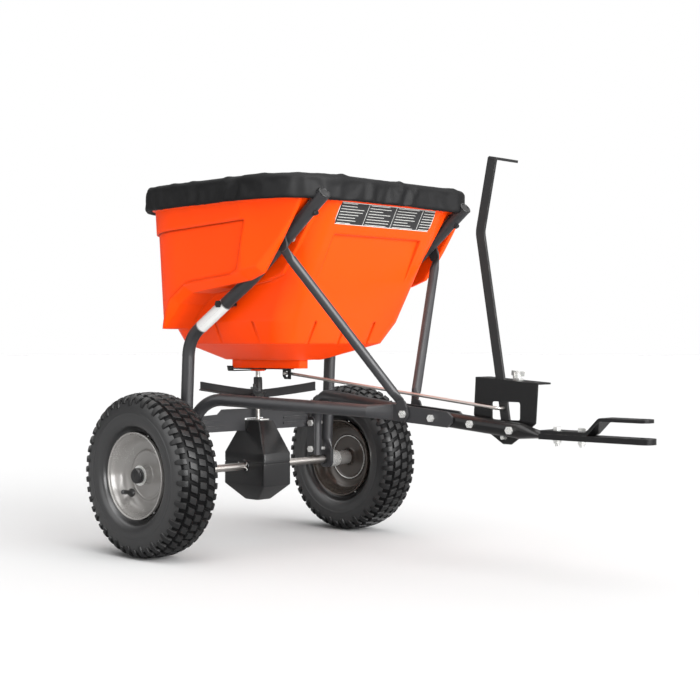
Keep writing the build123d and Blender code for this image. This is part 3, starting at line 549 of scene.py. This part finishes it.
CASE_CORNER = 0.0042
COLLAR = ((0.0081, 0.0385), (0.0150, 0.0385), (0.0142, 0.0408), (0.0128, 0.0418), (0.0100, 0.0418), (0.0081, 0.0412),
          (0.0081, 0.0385))
CLIP_Y = 0.0432
CLIP_SIZE = (0.0135, 0.0085)
CLIP_WIRE = 0.0014
SPINNER_HUB = ((0.0049, 0.308), (0.0110, 0.308), (0.0180, 0.3095), (0.0185, 0.3150), (0.0120, 0.3185),
               (0.0096, 0.3230), (0.0090, 0.3520), (0.0080, 0.3538), (0.0049, 0.3538), (0.0049, 0.308))
ARM_SECTION = ((-0.0015, 0.0), (0.0, -0.0010), (0.0190, -0.0006), (0.0200, 0.0002), (0.0200, 0.0016),
               (0.0190, 0.0022), (0.0032, 0.0022), (0.0020, 0.0040), (0.0018, 0.0172), (0.0010, 0.0182),
               (-0.0006, 0.0182), (-0.0015, 0.0172))
ARM_TURN = 43.56
ARM_ROOT, ARM_TIP = 0.009, 0.1235
ARM_Z, ARM_RISE = 0.3108, 0.0155
GUIDE_PATH = ((-0.0490, 0.3775), (-0.0478, 0.3705), (-0.0462, 0.3680), (0.0462, 0.3680), (0.0478, 0.3705),
              (0.0490, 0.3775))
GUIDE_SECTION = ((-0.044, 0.0), (-0.0435, -0.0010), (-0.0245, -0.0010), (-0.024, 0.0), (-0.0245, 0.0010),
                 (-0.0435, 0.0010))
PLUG = ((0.0122, -0.0005), (0.0131, 0.0004), (0.0131, 0.0014), (0.0122, 0.0024), (0.0100, 0.0028), (0.0094, 0.0012),
        (0.0030, 0.0010))
LEG_TOP = (0.403, 0.7028)
LEG_TOP_SLOPE = (0.193, 0, 0.1488)


def gear_case(plastic, steel):
    """The moulded gear case: a rounded double wedge with a lid seam, axle collars and a pair of spring clips."""
    verts, rows = [], []
    for z, rear, front, half in CASE:
        row = []
        # Each corner: its place, and where its quarter turn starts.
        for cx, cy, first in ((front, half, 0), (-rear, half, 90), (-rear, -half, 180), (front, -half, 270)):
            for k in range(6):
                turn = radians(first + 90 * k / 5)
                row.append(Vector((AXLE_X + cx - CASE_CORNER * (1 if cx > 0 else -1) + CASE_CORNER * cos(turn),
                                   cy - CASE_CORNER * (1 if cy > 0 else -1) + CASE_CORNER * sin(turn), z)))
        rows.append(add_row(verts, row))
    case = piece("gear_case", verts, capped(rows), plastic, "frame", "black_plastic", sharp=28)
    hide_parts("gearbox_rear", "gearbox_front")
    axle, out = Vector((AXLE_X, 0, AXLE_Z)), Vector((0, 1, 0))
    wide, tall = CLIP_SIZE
    for name, side in SIDES:
        revolved(f"case_collar_{name}", axle, side, COLLAR, plastic, "frame", "black_plastic", 48)
        for index, tilt in enumerate((-1, 1)):
            bend = [radians(-tilt * turn) for turn in (0, 40, 90, 140, 180)]
            path = curve_through([(wide * cos(a), 0, tall * sin(a) + tilt * tall) for a in bend], 4)
            wire, loops = [], []
            for i, p in enumerate(path):
                ahead = (path[min(i + 1, len(path) - 1)] - path[max(i - 1, 0)]).normalized()
                flat = ahead.cross(out)
                middle = axle + out * side * CLIP_Y + p
                loops.append(add_row(wire, [middle + (out * cos(a) + flat * sin(a)) * CLIP_WIRE for a in around(6)]))
            piece(f"case_clip_{name}_{index}", wire, capped(loops), steel, "frame", "zinc")


def spinner_arms(plastic):
    """The moulded spinner: a tall hub and four channel-shaped arms that rise towards their square ends."""
    verts = []
    centre = Vector((AXLE_X, 0, 0))
    rows = [add_row(verts, [centre + Vector((r * cos(a), r * sin(a), z)) for a in around(32)])
            for r, z in SPINNER_HUB]
    faces = strip_faces(rows, closed=True)
    for arm in range(4):
        turn = radians(ARM_TURN + 90 * arm)
        along, out = Vector((cos(turn), sin(turn), 0)), Vector((-sin(turn), cos(turn), 0))
        loops = []
        for t in (0.0, 0.1, 0.3, 0.55, 0.8, 0.97, 1.0):
            middle = centre + along * (ARM_ROOT + (ARM_TIP - ARM_ROOT) * t)
            base = ARM_Z + ARM_RISE * t ** 1.25
            wide, tall = 0.5 + 0.75 * t, (0.92 + 0.08 * t) * (0.97 if t == 1.0 else 1.0)
            loops.append(add_row(verts, [middle + out * w * wide + Vector((0, 0, base + h * tall))
                                         for w, h in ARM_SECTION]))
        faces += capped(loops)
    arms = piece("spinner_arms", verts, faces, plastic, "spinner", "impeller_plastic", sharp=32)
    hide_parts("impeller")


def guide_strip(plastic):
    """The thin strip across the outlet's underside that the gate slides over, folded up at both ends."""
    verts = []
    loops = [add_row(verts, [Vector((AXLE_X + x, y, z + off)) for x, off in GUIDE_SECTION]) for y, z in GUIDE_PATH]
    strip = piece("guide_strip", verts, capped(loops), plastic, "frame", "black_plastic", sharp=30)
    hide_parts("gate_guides")


def leg_plugs(plastic):
    """Dark plugs pressed into the open tops of both legs."""
    slope, level = Vector(LEG_TOP_SLOPE).normalized(), Vector((0, 1, 0))
    flat = slope.cross(level)
    for name, side in SIDES:
        verts = []
        tip = Vector((AXLE_X + LEG_TOP[0], side * LEG_Y, LEG_TOP[1]))
        rings = [add_row(verts, [tip + slope * rise + (level * cos(a) + flat * sin(a)) * r for r, rise in PLUG])
                 for a in around(40)]
        faces = strip_faces(rings, loop=True) + [tuple(r[-1] for r in rings)]
        piece(f"leg_plug_{name}", verts, faces, plastic, "frame", "black_plastic", sharp=35)


# ---- cover ----
COVER_POINTS = 320
COVER_STEPS = 30
COVER_FULL = 1.012
COVER_RINGS = (0.12, 0.24, 0.36, 0.48, 0.58, 0.67, 0.75, 0.82, 0.87, 0.91, 0.94, 0.962, 0.98, 0.993)
COVER_CROWN = 0.0085
COVER_LIFT = 0.0025
SKIRT_STEPS = 12
SKIRT_OUT = 0.0048
TUCK_FROM = 0.044
TUCK_IN = 0.0095
RUFFLE = 0.0032
COVER_STRAY = 0.016
COVER_TOP = 0.0145
HEM_SIZE = 0.0021
# Uneven waves around the cover, each as (turns, size, phase).
RUFFLES = ((37, 0.5, 0.4), (23, 0.6, 1.0), (11, 0.5, 3.1), (3, 0.3, 2.0))
WRINKLES = ((61, 0.0009, 0.3), (43, 0.0013, 1.9), (29, 0.0017, 4.0), (13, 0.0014, 2.2))
HEM_RISE = ((5, 0.0014, 0.5), (13, 0.0008, 2.0))
HEM_LUMPS = ((71, 0.00025, 0), (113, 0.00018, 2))
CLOTH = {"quality": 5, "mass": 0.12, "tension_stiffness": 40, "compression_stiffness": 40, "shear_stiffness": 12,
         "bending_stiffness": 0.35, "air_damping": 3, "vertex_group_mass": "pins"}
CLOTH_GAP = 0.0012
# The form under the cloth: (height from the lip's top, distance out), then its dome's rings.
FORM_POINTS = 160
FORM_WALL = ((-0.040, -0.010), (-0.010, -0.007), (-0.007, 0.0), (-0.003, 0.0008), (-0.0005, -0.001), (0.001, -0.004))
FORM_RINGS = (0.9, 0.7, 0.45, 0.2)
FORM_DOME = 0.0065


def turns_left(a, b, c):
    """True if the way from a over b to c turns left."""
    return (b[0] - a[0]) * (c[1] - a[1]) - (b[1] - a[1]) * (c[0] - a[0]) > 0


def lip_outline(count):
    """The hopper's lip in plan, as evenly spaced points with outward normals, and its height."""
    points = [v.co for v in frame["nodes"]["hopper"].data.vertices]
    top = max(p.z for p in points)
    flat = sorted({(round(p.x, 6), round(p.y, 6)) for p in points if p.z > top - 0.007})
    hull = []
    for run in (flat, flat[::-1]):
        chain = []
        for p in run:
            while len(chain) > 1 and not turns_left(chain[-2], chain[-1], p):
                chain.pop()
            chain.append(p)
        hull.extend(chain[:-1])
    loop = [Vector((x, y, 0)) for x, y in hull + hull[:1]]
    lengths = [0.0]
    for a, b in zip(loop, loop[1:]):
        lengths.append(lengths[-1] + (b - a).length)
    outline = []
    for k in range(count):
        s = lengths[-1] * k / count
        i = int(np.searchsorted(lengths, s, side="right")) - 1
        outline.append(loop[i].lerp(loop[i + 1], (s - lengths[i]) / (lengths[i + 1] - lengths[i])))
    normals = []
    for k in range(count):
        along = outline[(k + 3) % count] - outline[k - 3]
        normals.append(Vector((along.y, -along.x, 0)).normalized())
    return outline, normals, top


def wobble(t, waves):
    """A repeatable uneven wave around the cover at share t of its length."""
    return sum(size * sin(2 * pi * turns * t + phase) for turns, size, phase in waves)


def cover_grid():
    """The cover's rings from the middle of the top to the hem: start points and flat points."""
    outline, normals, top = lip_outline(COVER_POINTS)
    middle = sum(outline, Vector()) / COVER_POINTS
    start, flat = [], []
    for scale in COVER_RINGS:
        rise = top + COVER_LIFT + COVER_CROWN * (1 - scale ** 2.2)
        ruffle = RUFFLE * max(0.0, (scale - 0.87) / 0.13)
        start.append([middle + (p - middle) * scale
                      + Vector((0, 0, rise + ruffle * max(0.0, wobble(i / COVER_POINTS, RUFFLES))))
                      for i, p in enumerate(outline)])
        flat.append([middle + (p - middle) * scale for p in outline])
    drop = bpy.context.scene.spreader_sizes.cover_drop
    for k in range(SKIRT_STEPS + 1):
        deep = drop * k / SKIRT_STEPS
        ring = []
        for i, (p, n) in enumerate(zip(outline, normals)):
            t = i / COVER_POINTS
            lean = (0.008 + 0.010 * sin(2 * pi * 5 * t)) * deep / drop
            wave = wobble(t + lean, WRINKLES) * (0.35 + 0.9 * sin(2 * pi * 2.5 * t + 1.1) ** 2)
            if deep < TUCK_FROM:
                out_by = SKIRT_OUT * min(1.0, deep / 0.008) ** 0.6 + wave * min(1.0, deep / 0.02)
                down = deep
            else:
                tuck = (deep - TUCK_FROM) / (drop - TUCK_FROM)
                out_by = 0.0042 + wave * (1 - 0.5 * tuck) - TUCK_IN * tuck
                down = TUCK_FROM + 0.003 * sin(pi * tuck) - 0.002 * tuck
            lift = wobble(t, HEM_RISE) if k >= SKIRT_STEPS - 1 else 0.0
            lift += RUFFLE * max(0.0, 1 - deep / 0.012) * max(0.0, wobble(t, RUFFLES))
            ring.append(p + n * out_by + Vector((0, 0, top + COVER_LIFT - down + lift)))
        start.append(ring)
        flat.append([p + n * deep for p, n in zip(outline, normals)])
    flat = [[middle + (p - middle) * COVER_FULL for p in ring] for ring in flat]
    return start, flat, middle, top


def fan(row, tip):
    """Triangles from a closed row to one point."""
    return [(row[i], row[(i + 1) % len(row)], tip) for i in range(len(row))]


def lip_form(middle, top):
    """The hopper's lip and a low dome over its mouth, for the cloth to land on."""
    outline, normals, _ = lip_outline(FORM_POINTS)
    points = []
    loops = [add_row(points, [p + n * out_by + Vector((0, 0, top + rise)) for p, n in zip(outline, normals)])
             for rise, out_by in FORM_WALL]
    for scale in FORM_RINGS:
        rise = Vector((0, 0, top + FORM_DOME * (1 - scale ** 2)))
        loops.append(add_row(points, [middle + (p - middle) * scale + rise for p in outline]))
    points.append(middle + Vector((0, 0, top + 0.007)))
    mesh = bpy.data.meshes.new("form")
    mesh.from_pydata([tuple(p) for p in points], [],
                     strip_faces(loops, closed=True) + fan(loops[-1], len(points) - 1))
    form = bpy.data.objects.new("form", mesh)
    bpy.context.scene.collection.objects.link(form)
    form.modifiers.new("hit", "COLLISION")
    form.collision.thickness_outer = CLOTH_GAP
    form.collision.cloth_friction = 8
    return form


def settled(verts, faces, rows, flat, middle, top):
    """Where the cover's points come to rest when it is let go over the lip as cloth, hem and middle held."""
    scene = bpy.context.scene
    mesh = bpy.data.meshes.new("cover work")
    mesh.from_pydata([tuple(v) for v in verts], [], faces)
    work = bpy.data.objects.new("cover_work", mesh)
    scene.collection.objects.link(work)
    work.shape_key_add(name="Basis")
    rest = work.shape_key_add(name="Flat")
    for i, p in enumerate([p for ring in flat for p in ring] + [middle]):
        rest.data[i].co = (p.x, p.y, top)
    rest.value = 0
    pins = work.vertex_groups.new(name="pins")
    pins.add(rows[-1] + rows[-2], 1.0, "REPLACE")
    pins.add(rows[0] + [len(verts) - 1], 0.6, "REPLACE")
    form = lip_form(middle, top)
    cloth = work.modifiers.new("cloth", "CLOTH")
    for key, value in CLOTH.items():
        setattr(cloth.settings, key, value)
    cloth.settings.rest_shape_key = rest
    cloth.settings.effector_weights.gravity = 0.35
    cloth.collision_settings.distance_min = CLOTH_GAP
    cloth.collision_settings.collision_quality = 2
    cloth.point_cache.frame_end = COVER_STEPS
    for k in range(1, COVER_STEPS + 1):
        scene.frame_set(k)
    shaped = work.evaluated_get(bpy.context.evaluated_depsgraph_get())
    out = []
    for was, point in zip(verts, shaped.to_mesh().vertices):
        shift = point.co - was
        if shift.length > COVER_STRAY:
            shift *= COVER_STRAY / shift.length
        now = was + shift
        now.z = min(now.z, top + COVER_TOP)
        out.append(now)
    shaped.to_mesh_clear()
    scene.frame_set(1)
    for other in (form, work):
        bpy.data.objects.remove(other, do_unlink=True)
    return out


def cover_cloth(cloth):
    """The elastic-hemmed cover, let settle over the hopper's lip."""
    start, flat, middle, top = cover_grid()
    verts = []
    rows = [add_row(verts, ring) for ring in start]
    verts.append(middle + Vector((0, 0, top + 0.011)))
    faces = strip_faces(rows, closed=True) + fan(rows[0], len(verts) - 1)
    verts = settled(verts, faces, rows, flat, middle, top)
    cover = piece("cloth_cover", verts, faces, cloth, "cover", "cover_cloth", sharp=180)
    smooth = cover.modifiers.new("smooth", "SUBSURF")
    smooth.levels = smooth.render_levels = 1
    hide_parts("cover")
    hem_points, loops = [], []
    edge = [verts[i] for i in rows[-1]]
    for i, p in enumerate(edge):
        ahead = (edge[(i + 1) % COVER_POINTS] - edge[i - 1]).normalized()
        across = ahead.cross(Vector((0, 0, 1))).normalized()
        up = across.cross(ahead)
        size = HEM_SIZE + 0.00035 * (i % 2) + wobble(i / COVER_POINTS, HEM_LUMPS)
        loops.append(add_row(hem_points, [p + across * cos(a) * size * 0.8 + up * sin(a) * size * 1.25
                                          for a in around(8)]))
    hem = piece("cover_hem", hem_points, strip_faces(loops, closed=True, loop=True), cloth, "cover", "cover_cloth",
                sharp=180)


# ---- labels ----
LABEL_CORNER = 0.003
LABEL_FACES = (0.00012, 0.0003)
CHART_SIZE = (0.276, 0.046)
CHART_Z = 0.6735
# Two points (x, z) on the hopper's sloping front.
FRONT_LOW, FRONT_HIGH = (AXLE_X + 0.262, 0.470), (AXLE_X + 0.388, 0.703)
BAND_SIZE = (0.058, 0.088)
BAND_AT = (AXLE_X + 0.094, -LEG_Y, 0.4826)
BAND_BEND = 0.0127
LEG_SLOPE = (0.1925, 0, 0.118)


def sticker(name, centre, across, up, size, material, slot_name, bend=None):
    """A thin printed label lying on a surface. bend is the radius it is wrapped to, about its up axis."""
    across, up, centre = Vector(across).normalized(), Vector(up).normalized(), Vector(centre)
    out = across.cross(up)
    wide, tall = size
    columns, rows = (28, 10) if bend else (24, 4)
    verts, grid, uv = [], [], []
    for lift in LABEL_FACES:
        layer = []
        for j in range(rows + 1):
            row = []
            y = tall * (j / rows - 0.5)
            past = max(abs(y) - tall / 2 + LABEL_CORNER, 0)
            most = wide / 2 - LABEL_CORNER + sqrt(max(LABEL_CORNER ** 2 - past ** 2, 0))
            for i in range(columns + 1):
                x = max(min(wide * (i / columns - 0.5), most), -most)
                uv.append((x / wide + 0.5, y / tall + 0.5))
                if bend:
                    turn, reach = x / bend, bend + lift
                    row.append(centre + across * reach * sin(turn) + out * (reach * cos(turn)) + up * y)
                else:
                    row.append(centre + across * x + up * y + out * lift)
            layer.append(add_row(verts, row))
        grid.append(layer)
    faces = strip_faces(grid[0]) + strip_faces(grid[1]) + strip_faces([rim_of(g) for g in grid], closed=True)
    return piece(name, verts, faces, material, "frame", slot_name, uv=uv)


# ---- settings ----
class SpreaderColors(bpy.types.PropertyGroup):
    """Colours of the finishes."""
    hopper: bpy.props.FloatVectorProperty(name="Hopper", description="Moulded hopper", subtype="COLOR",
                                          default=(0.93, 0.056, 0.0004), size=3, min=0, max=1)
    frame_paint: bpy.props.FloatVectorProperty(name="Frame", description="Powder coat of the tubes", subtype="COLOR",
                                               default=(0.024, 0.024, 0.026), size=3, min=0, max=1)
    cover: bpy.props.FloatVectorProperty(name="Cover", description="Coated cover cloth", subtype="COLOR",
                                         default=(0.006, 0.006, 0.0064), size=3, min=0, max=1)


class SpreaderSizes(bpy.types.PropertyGroup):
    """Sizes of the pieces made here."""
    cover_drop: bpy.props.FloatProperty(name="Cover drop", description="Depth of the cover below the hopper's lip",
                                        default=0.062, min=0.055, max=0.075, unit="LENGTH")
    tread_blocks: bpy.props.IntProperty(name="Tread blocks", description="Blocks in one ring of a tyre's tread",
                                        default=46, min=36, max=56)


class SpreaderStage(bpy.types.PropertyGroup):
    """Floor, lights and camera."""
    floor_white: bpy.props.FloatProperty(name="Floor", description="Albedo of the floor", default=0.85, min=0, max=1)
    floor_seen: bpy.props.FloatProperty(name="Floor seen", description="Albedo that the camera sees", default=0.55,
                                        min=0, max=1)
    floor_mirrored: bpy.props.FloatProperty(name="Floor mirrored", description="Albedo that reflections see",
                                            default=0.26, min=0, max=1)
    sky: bpy.props.FloatProperty(name="Sky", description="Strength of the even light", default=0.30, min=0)
    front_sky: bpy.props.FloatProperty(name="Front sky", description="Strength of the light in front", default=2.2,
                                       min=0)
    lens: bpy.props.FloatProperty(name="Lens", description="Focal length in millimetres", default=70.05, min=1)


# ---- pieces ----
class SPREADER_OT_finishes(bpy.types.Operator):
    """Makes the shared node groups and gives every carried-over part its finish"""
    bl_idname = "spreader.finishes"
    bl_label = "Finishes"

    def execute(self, context):
        colors = context.scene.spreader_colors
        GROUPS.update(wear=edge_wear_group(), mottle=mottle_group(), grain=grain_group(), dust=dust_group(),
                      chart=chart_group())
        hopper = finish("hopper plastic", colors.hopper, 0.38, drift=0.10, speckle=0.03, grain=700, wave_scale=9,
                        wave=2.0, bump=0.2, bump_distance=0.0012, round_edges=0.009, Specular_IOR_Level=0.11)
        tree = hopper.node_tree
        shader = tree.nodes["Principled BSDF"]
        seen = shader.inputs["Base Color"].links[0].from_socket
        path = tree.nodes.new("ShaderNodeLightPath")
        muted = mixed(tree, 0.75, seen, (0.42, 0.30, 0.26, 1))
        link(tree, mixed(tree, path.outputs["Is Camera Ray"], muted, seen), shader.inputs["Base Color"])
        worn = {"wear": (0.3, 0.29, 0.27), "wear_amount": 0.3}
        tubes = finish("frame powder coat", colors.frame_paint, 0.36, **worn, dust=0.05, grain=1200, bump=0.12,
                       Specular_IOR_Level=0.45, Coat_Weight=0.15, Coat_Roughness=0.22)
        black = finish("black enamel", (0.0045, 0.0045, 0.0048), 0.22, wear=(0.25, 0.24, 0.23), wear_amount=0.25,
                       dust=0.03, grain=500, bump=0.08, Specular_IOR_Level=0.32, Coat_Weight=0.2, Coat_Roughness=0.1)
        # The lever gets a darker copy of the frame's black paint: painted shade.
        lever = finish("shaded lever enamel", (0.009, 0.009, 0.0095), 0.36, **worn, dust=0.03, bump=0.1)
        zinc = finish("zinc plate", (0.78, 0.78, 0.76), 0.28, 0.7, drift=0.25, speckle=0.25, speckle_scale=900,
                      grain=1500, bump=0.12, round_edges=0.0005)
        oxide = finish("black oxide", (0.03, 0.03, 0.032), 0.4, 0.6, drift=0.2, speckle=0.2, grain=1500, bump=0.12,
                       round_edges=0.0005)
        steel = finish("drawn steel", (0.60, 0.57, 0.54), 0.38, 1.0, drift=0.2, speckle=0.2, bump=0.08)
        rims = finish("wheel enamel", (0.24, 0.232, 0.222), 0.26, 0.25, wear=(0.5, 0.48, 0.45), wear_amount=0.25,
                      dust=0.06, grain=900, bump=0.1, round_edges=0.0, Coat_Weight=0.4, Coat_Roughness=0.12)
        plastic = finish("black moulding", (0.012, 0.012, 0.0125), 0.24, dust=0.04, grain=600, bump=0.12,
                         round_edges=0.002, Specular_IOR_Level=0.45)
        spinner = finish("spinner moulding", (0.012, 0.012, 0.013), 0.42, dust=0.03, grain=600, bump=0.2,
                         round_edges=0.001)
        gears = finish("sintered steel", (0.25, 0.24, 0.23), 0.4, 1.0, drift=0.3, bump=0.2)
        # The wheels' back faces get a darker, brownish tone than their fronts.
        rim_back = finish("dark wheel back", (0.055, 0.045, 0.038), 0.26, 0.3, dust=0.05, bump=0.12, round_edges=0.0,
                          Coat_Weight=0.4, Coat_Roughness=0.12)
        cloth = finish("cover cloth", colors.cover, 0.55, grain=1500, bump=0.3, round_edges=0.0,
                       Specular_IOR_Level=0.2)
        rubber = finish("tyre rubber", (0.019, 0.019, 0.0195), 0.30, dust=0.04, grain=700, bump=0.2,
                        round_edges=0.0, Specular_IOR_Level=0.75)
        # A much darker, less shiny copy of the tyre rubber for the crown between the blocks: painted shade in the
        # grooves.
        groove = finish("groove rubber", (0.0025, 0.0025, 0.0027), 0.30, grain=700, bump=0.2, round_edges=0.0,
                        Specular_IOR_Level=0.12)
        # The tread blocks get a darker copy of the tyre rubber: painted shade.
        tread = finish("tread rubber", (0.007, 0.007, 0.0073), 0.42, dust=0.03, grain=700, bump=0.25,
                       round_edges=0.0012, Specular_IOR_Level=0.42)
        by_slot = {"hopper_plastic": hopper, "frame_paint": tubes, "black_paint": black, "lever_paint": lever,
                   "zinc": zinc, "bright_steel": steel, "rim_paint": rims, "rubber": rubber, "black_plastic": plastic,
                   "impeller_plastic": spinner, "gear_steel": gears, "rim_back": rim_back, "cover_cloth": cloth}
        for entry in frame["record"]["subparts"]:
            paint_nodes(by_slot[entry["material_slot"]], entry["node"])
        paint_nodes(oxide, "hopper_bolts_right", "hopper_bolts_left")
        MATERIALS.update(by_slot, groove=groove, tread=tread)
        return {"FINISHED"}


class SPREADER_OT_tyres(bpy.types.Operator):
    """Builds both pneumatic tyres with their tread blocks"""
    bl_idname = "spreader.tyres"
    bl_label = "Tyres"

    def execute(self, context):
        for name, side in SIDES:
            tyre(name, side, MATERIALS["rubber"], MATERIALS["groove"], MATERIALS["tread"])
        return {"FINISHED"}


class SPREADER_OT_wheels(bpy.types.Operator):
    """Builds the dished wheels and the bright rings painted as highlights on their backs"""
    bl_idname = "spreader.wheels"
    bl_label = "Wheels"

    def execute(self, context):
        for name, side in SIDES:
            wheel_dishes(name, side, MATERIALS["rim_paint"], MATERIALS["rim_back"], MATERIALS["zinc"])
            tyre_valve(name, side, MATERIALS["rubber"])
        return {"FINISHED"}


class SPREADER_OT_case(bpy.types.Operator):
    """Builds the gear case with its clips, and the plugs in the legs' open tops"""
    bl_idname = "spreader.case"
    bl_label = "Gear case and plugs"

    def execute(self, context):
        gear_case(MATERIALS["black_plastic"], MATERIALS["zinc"])
        leg_plugs(MATERIALS["black_plastic"])
        guide_strip(MATERIALS["black_plastic"])
        spinner_arms(MATERIALS["impeller_plastic"])
        return {"FINISHED"}


class SPREADER_OT_cover(bpy.types.Operator):
    """Lets the elastic-hemmed cover settle over the hopper's lip"""
    bl_idname = "spreader.cover"
    bl_label = "Cover"

    def execute(self, context):
        cover_cloth(MATERIALS["cover_cloth"])
        return {"FINISHED"}


class SPREADER_OT_labels(bpy.types.Operator):
    """Puts the plain ruled label on the hopper and the pale band on the right leg"""
    bl_idname = "spreader.labels"
    bl_label = "Labels"

    def execute(self, context):
        dark = printed("chart label", (0.02, 0.02, 0.021), (0.5, 0.5, 0.48), 0.4, 8, 3.5, 0.007, 0.20)
        pale = printed("leg label", (0.62, 0.62, 0.61), (0.25, 0.25, 0.25), 0.3, 2, 5, 0.006, 0.0)
        slope = Vector((FRONT_HIGH[0] - FRONT_LOW[0], 0, FRONT_HIGH[1] - FRONT_LOW[1]))
        share = (CHART_Z - FRONT_LOW[1]) / (FRONT_HIGH[1] - FRONT_LOW[1])
        centre = (FRONT_LOW[0] + (FRONT_HIGH[0] - FRONT_LOW[0]) * share, 0, CHART_Z)
        sticker("chart_label", centre, (0, 1, 0), slope, CHART_SIZE, dark, "black_plastic")
        leg = Vector(LEG_SLOPE).normalized()
        sticker("leg_label", BAND_AT, leg.cross(Vector((0, -1, 0))), leg, BAND_SIZE, pale, "zinc", bend=BAND_BEND)
        return {"FINISHED"}


# Suns as (name, way the light goes, width in degrees, strength).
SUNS = (("key", (-0.42, 0.38, -1.0), 40, 1.0), ("front", (-0.97, 0.0, -0.12), 60, 6.8),
        ("top", (0.05, -0.05, -1.0), 80, 1.7))
# Soft boxes that only reflections see, as (place, cosine of the full part, cosine of the edge, strength).
SOFT_BOXES = (((-0.15, -0.95, 0.30), 0.93, 0.80, 1.5), ((0.95, -0.15, 0.30), 0.94, 0.82, 1.5),
              ((0.75, 0.62, 0.25), 0.97, 0.90, 1.0))
FLOOR_REACH = 30.0
CAMERA_AT = (AXLE_X + 2.1574, -1.9816, 0.4342)
CAMERA_TURN = (90 - 0.44, 0, 43.56)


def studio_world(settings):
    """White behind the object, soft boxes for reflections and light from above and in front for the rest."""
    world = bpy.data.worlds.new("studio")
    world.use_nodes = True
    tree = world.node_tree
    background = tree.nodes["Background"]
    path = tree.nodes.new("ShaderNodeLightPath")
    way = sock(tree, "ShaderNodeTexCoord", out=0)
    glow = sock(tree, "ShaderNodeSeparateXYZ", {0: way}, out=2)
    glow = remap(tree, glow, 0.25, 0.75, 0.16, 0.9, interpolation_type="SMOOTHSTEP")
    for toward, inner, outer, power in SOFT_BOXES:
        aim = sock(tree, "ShaderNodeVectorMath", {0: way, 1: Vector(toward).normalized()}, out=1,
                   operation="DOT_PRODUCT")
        box = remap(tree, aim, outer, inner, 0.0, power, interpolation_type="SMOOTHSTEP")
        glow = calc(tree, "ADD", glow, box)
    fore = sock(tree, "ShaderNodeVectorMath", {0: way, 1: (0.96, 0.1, -0.25)}, out=1, operation="DOT_PRODUCT")
    fore = remap(tree, fore, -0.2, 0.9, settings.sky, settings.front_sky, interpolation_type="SMOOTHSTEP")
    base = remap(tree, path.outputs["Is Camera Ray"], 0.0, 1.0, fore, 1.0)
    mirrored = path.outputs["Is Glossy Ray"]
    matte = calc(tree, "MULTIPLY", base, calc(tree, "SUBTRACT", 1.0, mirrored))
    strength = calc(tree, "ADD", matte, calc(tree, "MULTIPLY", glow, mirrored))
    background.inputs["Color"].default_value = (1, 1, 1, 1)
    link(tree, strength, background.inputs["Strength"])
    return world


class SPREADER_OT_stage(bpy.types.Operator):
    """Adds the floor, the soft studio lights and the camera"""
    bl_idname = "spreader.stage"
    bl_label = "Stage"

    def execute(self, context):
        settings = context.scene.spreader_stage
        mesh = bpy.data.meshes.new("floor")
        corners = [(x * FLOOR_REACH, y * FLOOR_REACH, 0) for x, y in ((-1, -1), (1, -1), (1, 1), (-1, 1))]
        mesh.from_pydata(corners, [], [(0, 1, 2, 3)])
        floor = bpy.data.objects.new("floor", mesh)
        context.scene.collection.objects.link(floor)
        material = bpy.data.materials.new("studio floor")
        material.use_nodes = True
        tree = material.node_tree
        shader = tree.nodes["Principled BSDF"]
        path = tree.nodes.new("ShaderNodeLightPath")
        white, seen, mirrored = ((tone, tone, tone, 1) for tone in
                                 (settings.floor_white, settings.floor_seen, settings.floor_mirrored))
        tone = mixed(tree, path.outputs["Is Glossy Ray"], white, mirrored)
        link(tree, mixed(tree, path.outputs["Is Camera Ray"], tone, seen), shader.inputs["Base Color"])
        shader.inputs["Roughness"].default_value = 0.9
        shader.inputs["Specular IOR Level"].default_value = 0.0
        mesh.materials.append(material)
        context.scene.world = studio_world(settings)
        for name, aim, spread, power in SUNS:
            lamp = bpy.data.lights.new(name, "SUN")
            lamp.angle = radians(spread)
            lamp.energy = power
            holder = bpy.data.objects.new(name, lamp)
            holder.rotation_euler = Vector(aim).to_track_quat("-Z", "Y").to_euler()
            context.scene.collection.objects.link(holder)
        camera = bpy.data.cameras.new("camera")
        camera.lens = settings.lens
        camera.sensor_width = 36
        eye = bpy.data.objects.new("camera", camera)
        eye.location = CAMERA_AT
        eye.rotation_euler = [radians(turn) for turn in CAMERA_TURN]
        context.scene.collection.objects.link(eye)
        context.scene.camera = eye
        context.scene.view_settings.view_transform = "Standard"
        return {"FINISHED"}


class SPREADER_PT_panel(bpy.types.Panel):
    """Settings and pieces of the spreader"""
    bl_label = "Spreader"
    bl_idname = "SPREADER_PT_panel"
    bl_space_type = "VIEW_3D"
    bl_region_type = "UI"
    bl_category = "Spreader"

    def draw(self, context):
        for name, kind in GROUP_TYPES:
            group = getattr(context.scene, name)
            for key in kind.__annotations__:
                self.layout.prop(group, key)
        for piece in PIECES:
            self.layout.operator(piece.bl_idname)


PIECES = (SPREADER_OT_finishes, SPREADER_OT_tyres, SPREADER_OT_wheels, SPREADER_OT_case, SPREADER_OT_cover,
          SPREADER_OT_labels, SPREADER_OT_stage)
GROUP_TYPES = (("spreader_colors", SpreaderColors), ("spreader_sizes", SpreaderSizes),
               ("spreader_stage", SpreaderStage))


def register():
    for name, kind in GROUP_TYPES:
        bpy.utils.register_class(kind)
        setattr(bpy.types.Scene, name, bpy.props.PointerProperty(type=kind))
    for kind in PIECES + (SPREADER_PT_panel,):
        bpy.utils.register_class(kind)


def unregister():
    for kind in reversed(PIECES + (SPREADER_PT_panel,)):
        bpy.utils.unregister_class(kind)
    for name, kind in reversed(GROUP_TYPES):
        delattr(bpy.types.Scene, name)
        bpy.utils.unregister_class(kind)


def main():
    register()
    for piece in PIECES:
        family, action = piece.bl_idname.split(".")
        getattr(getattr(bpy.ops, family), action)()


if __name__ == "__main__":
    main()
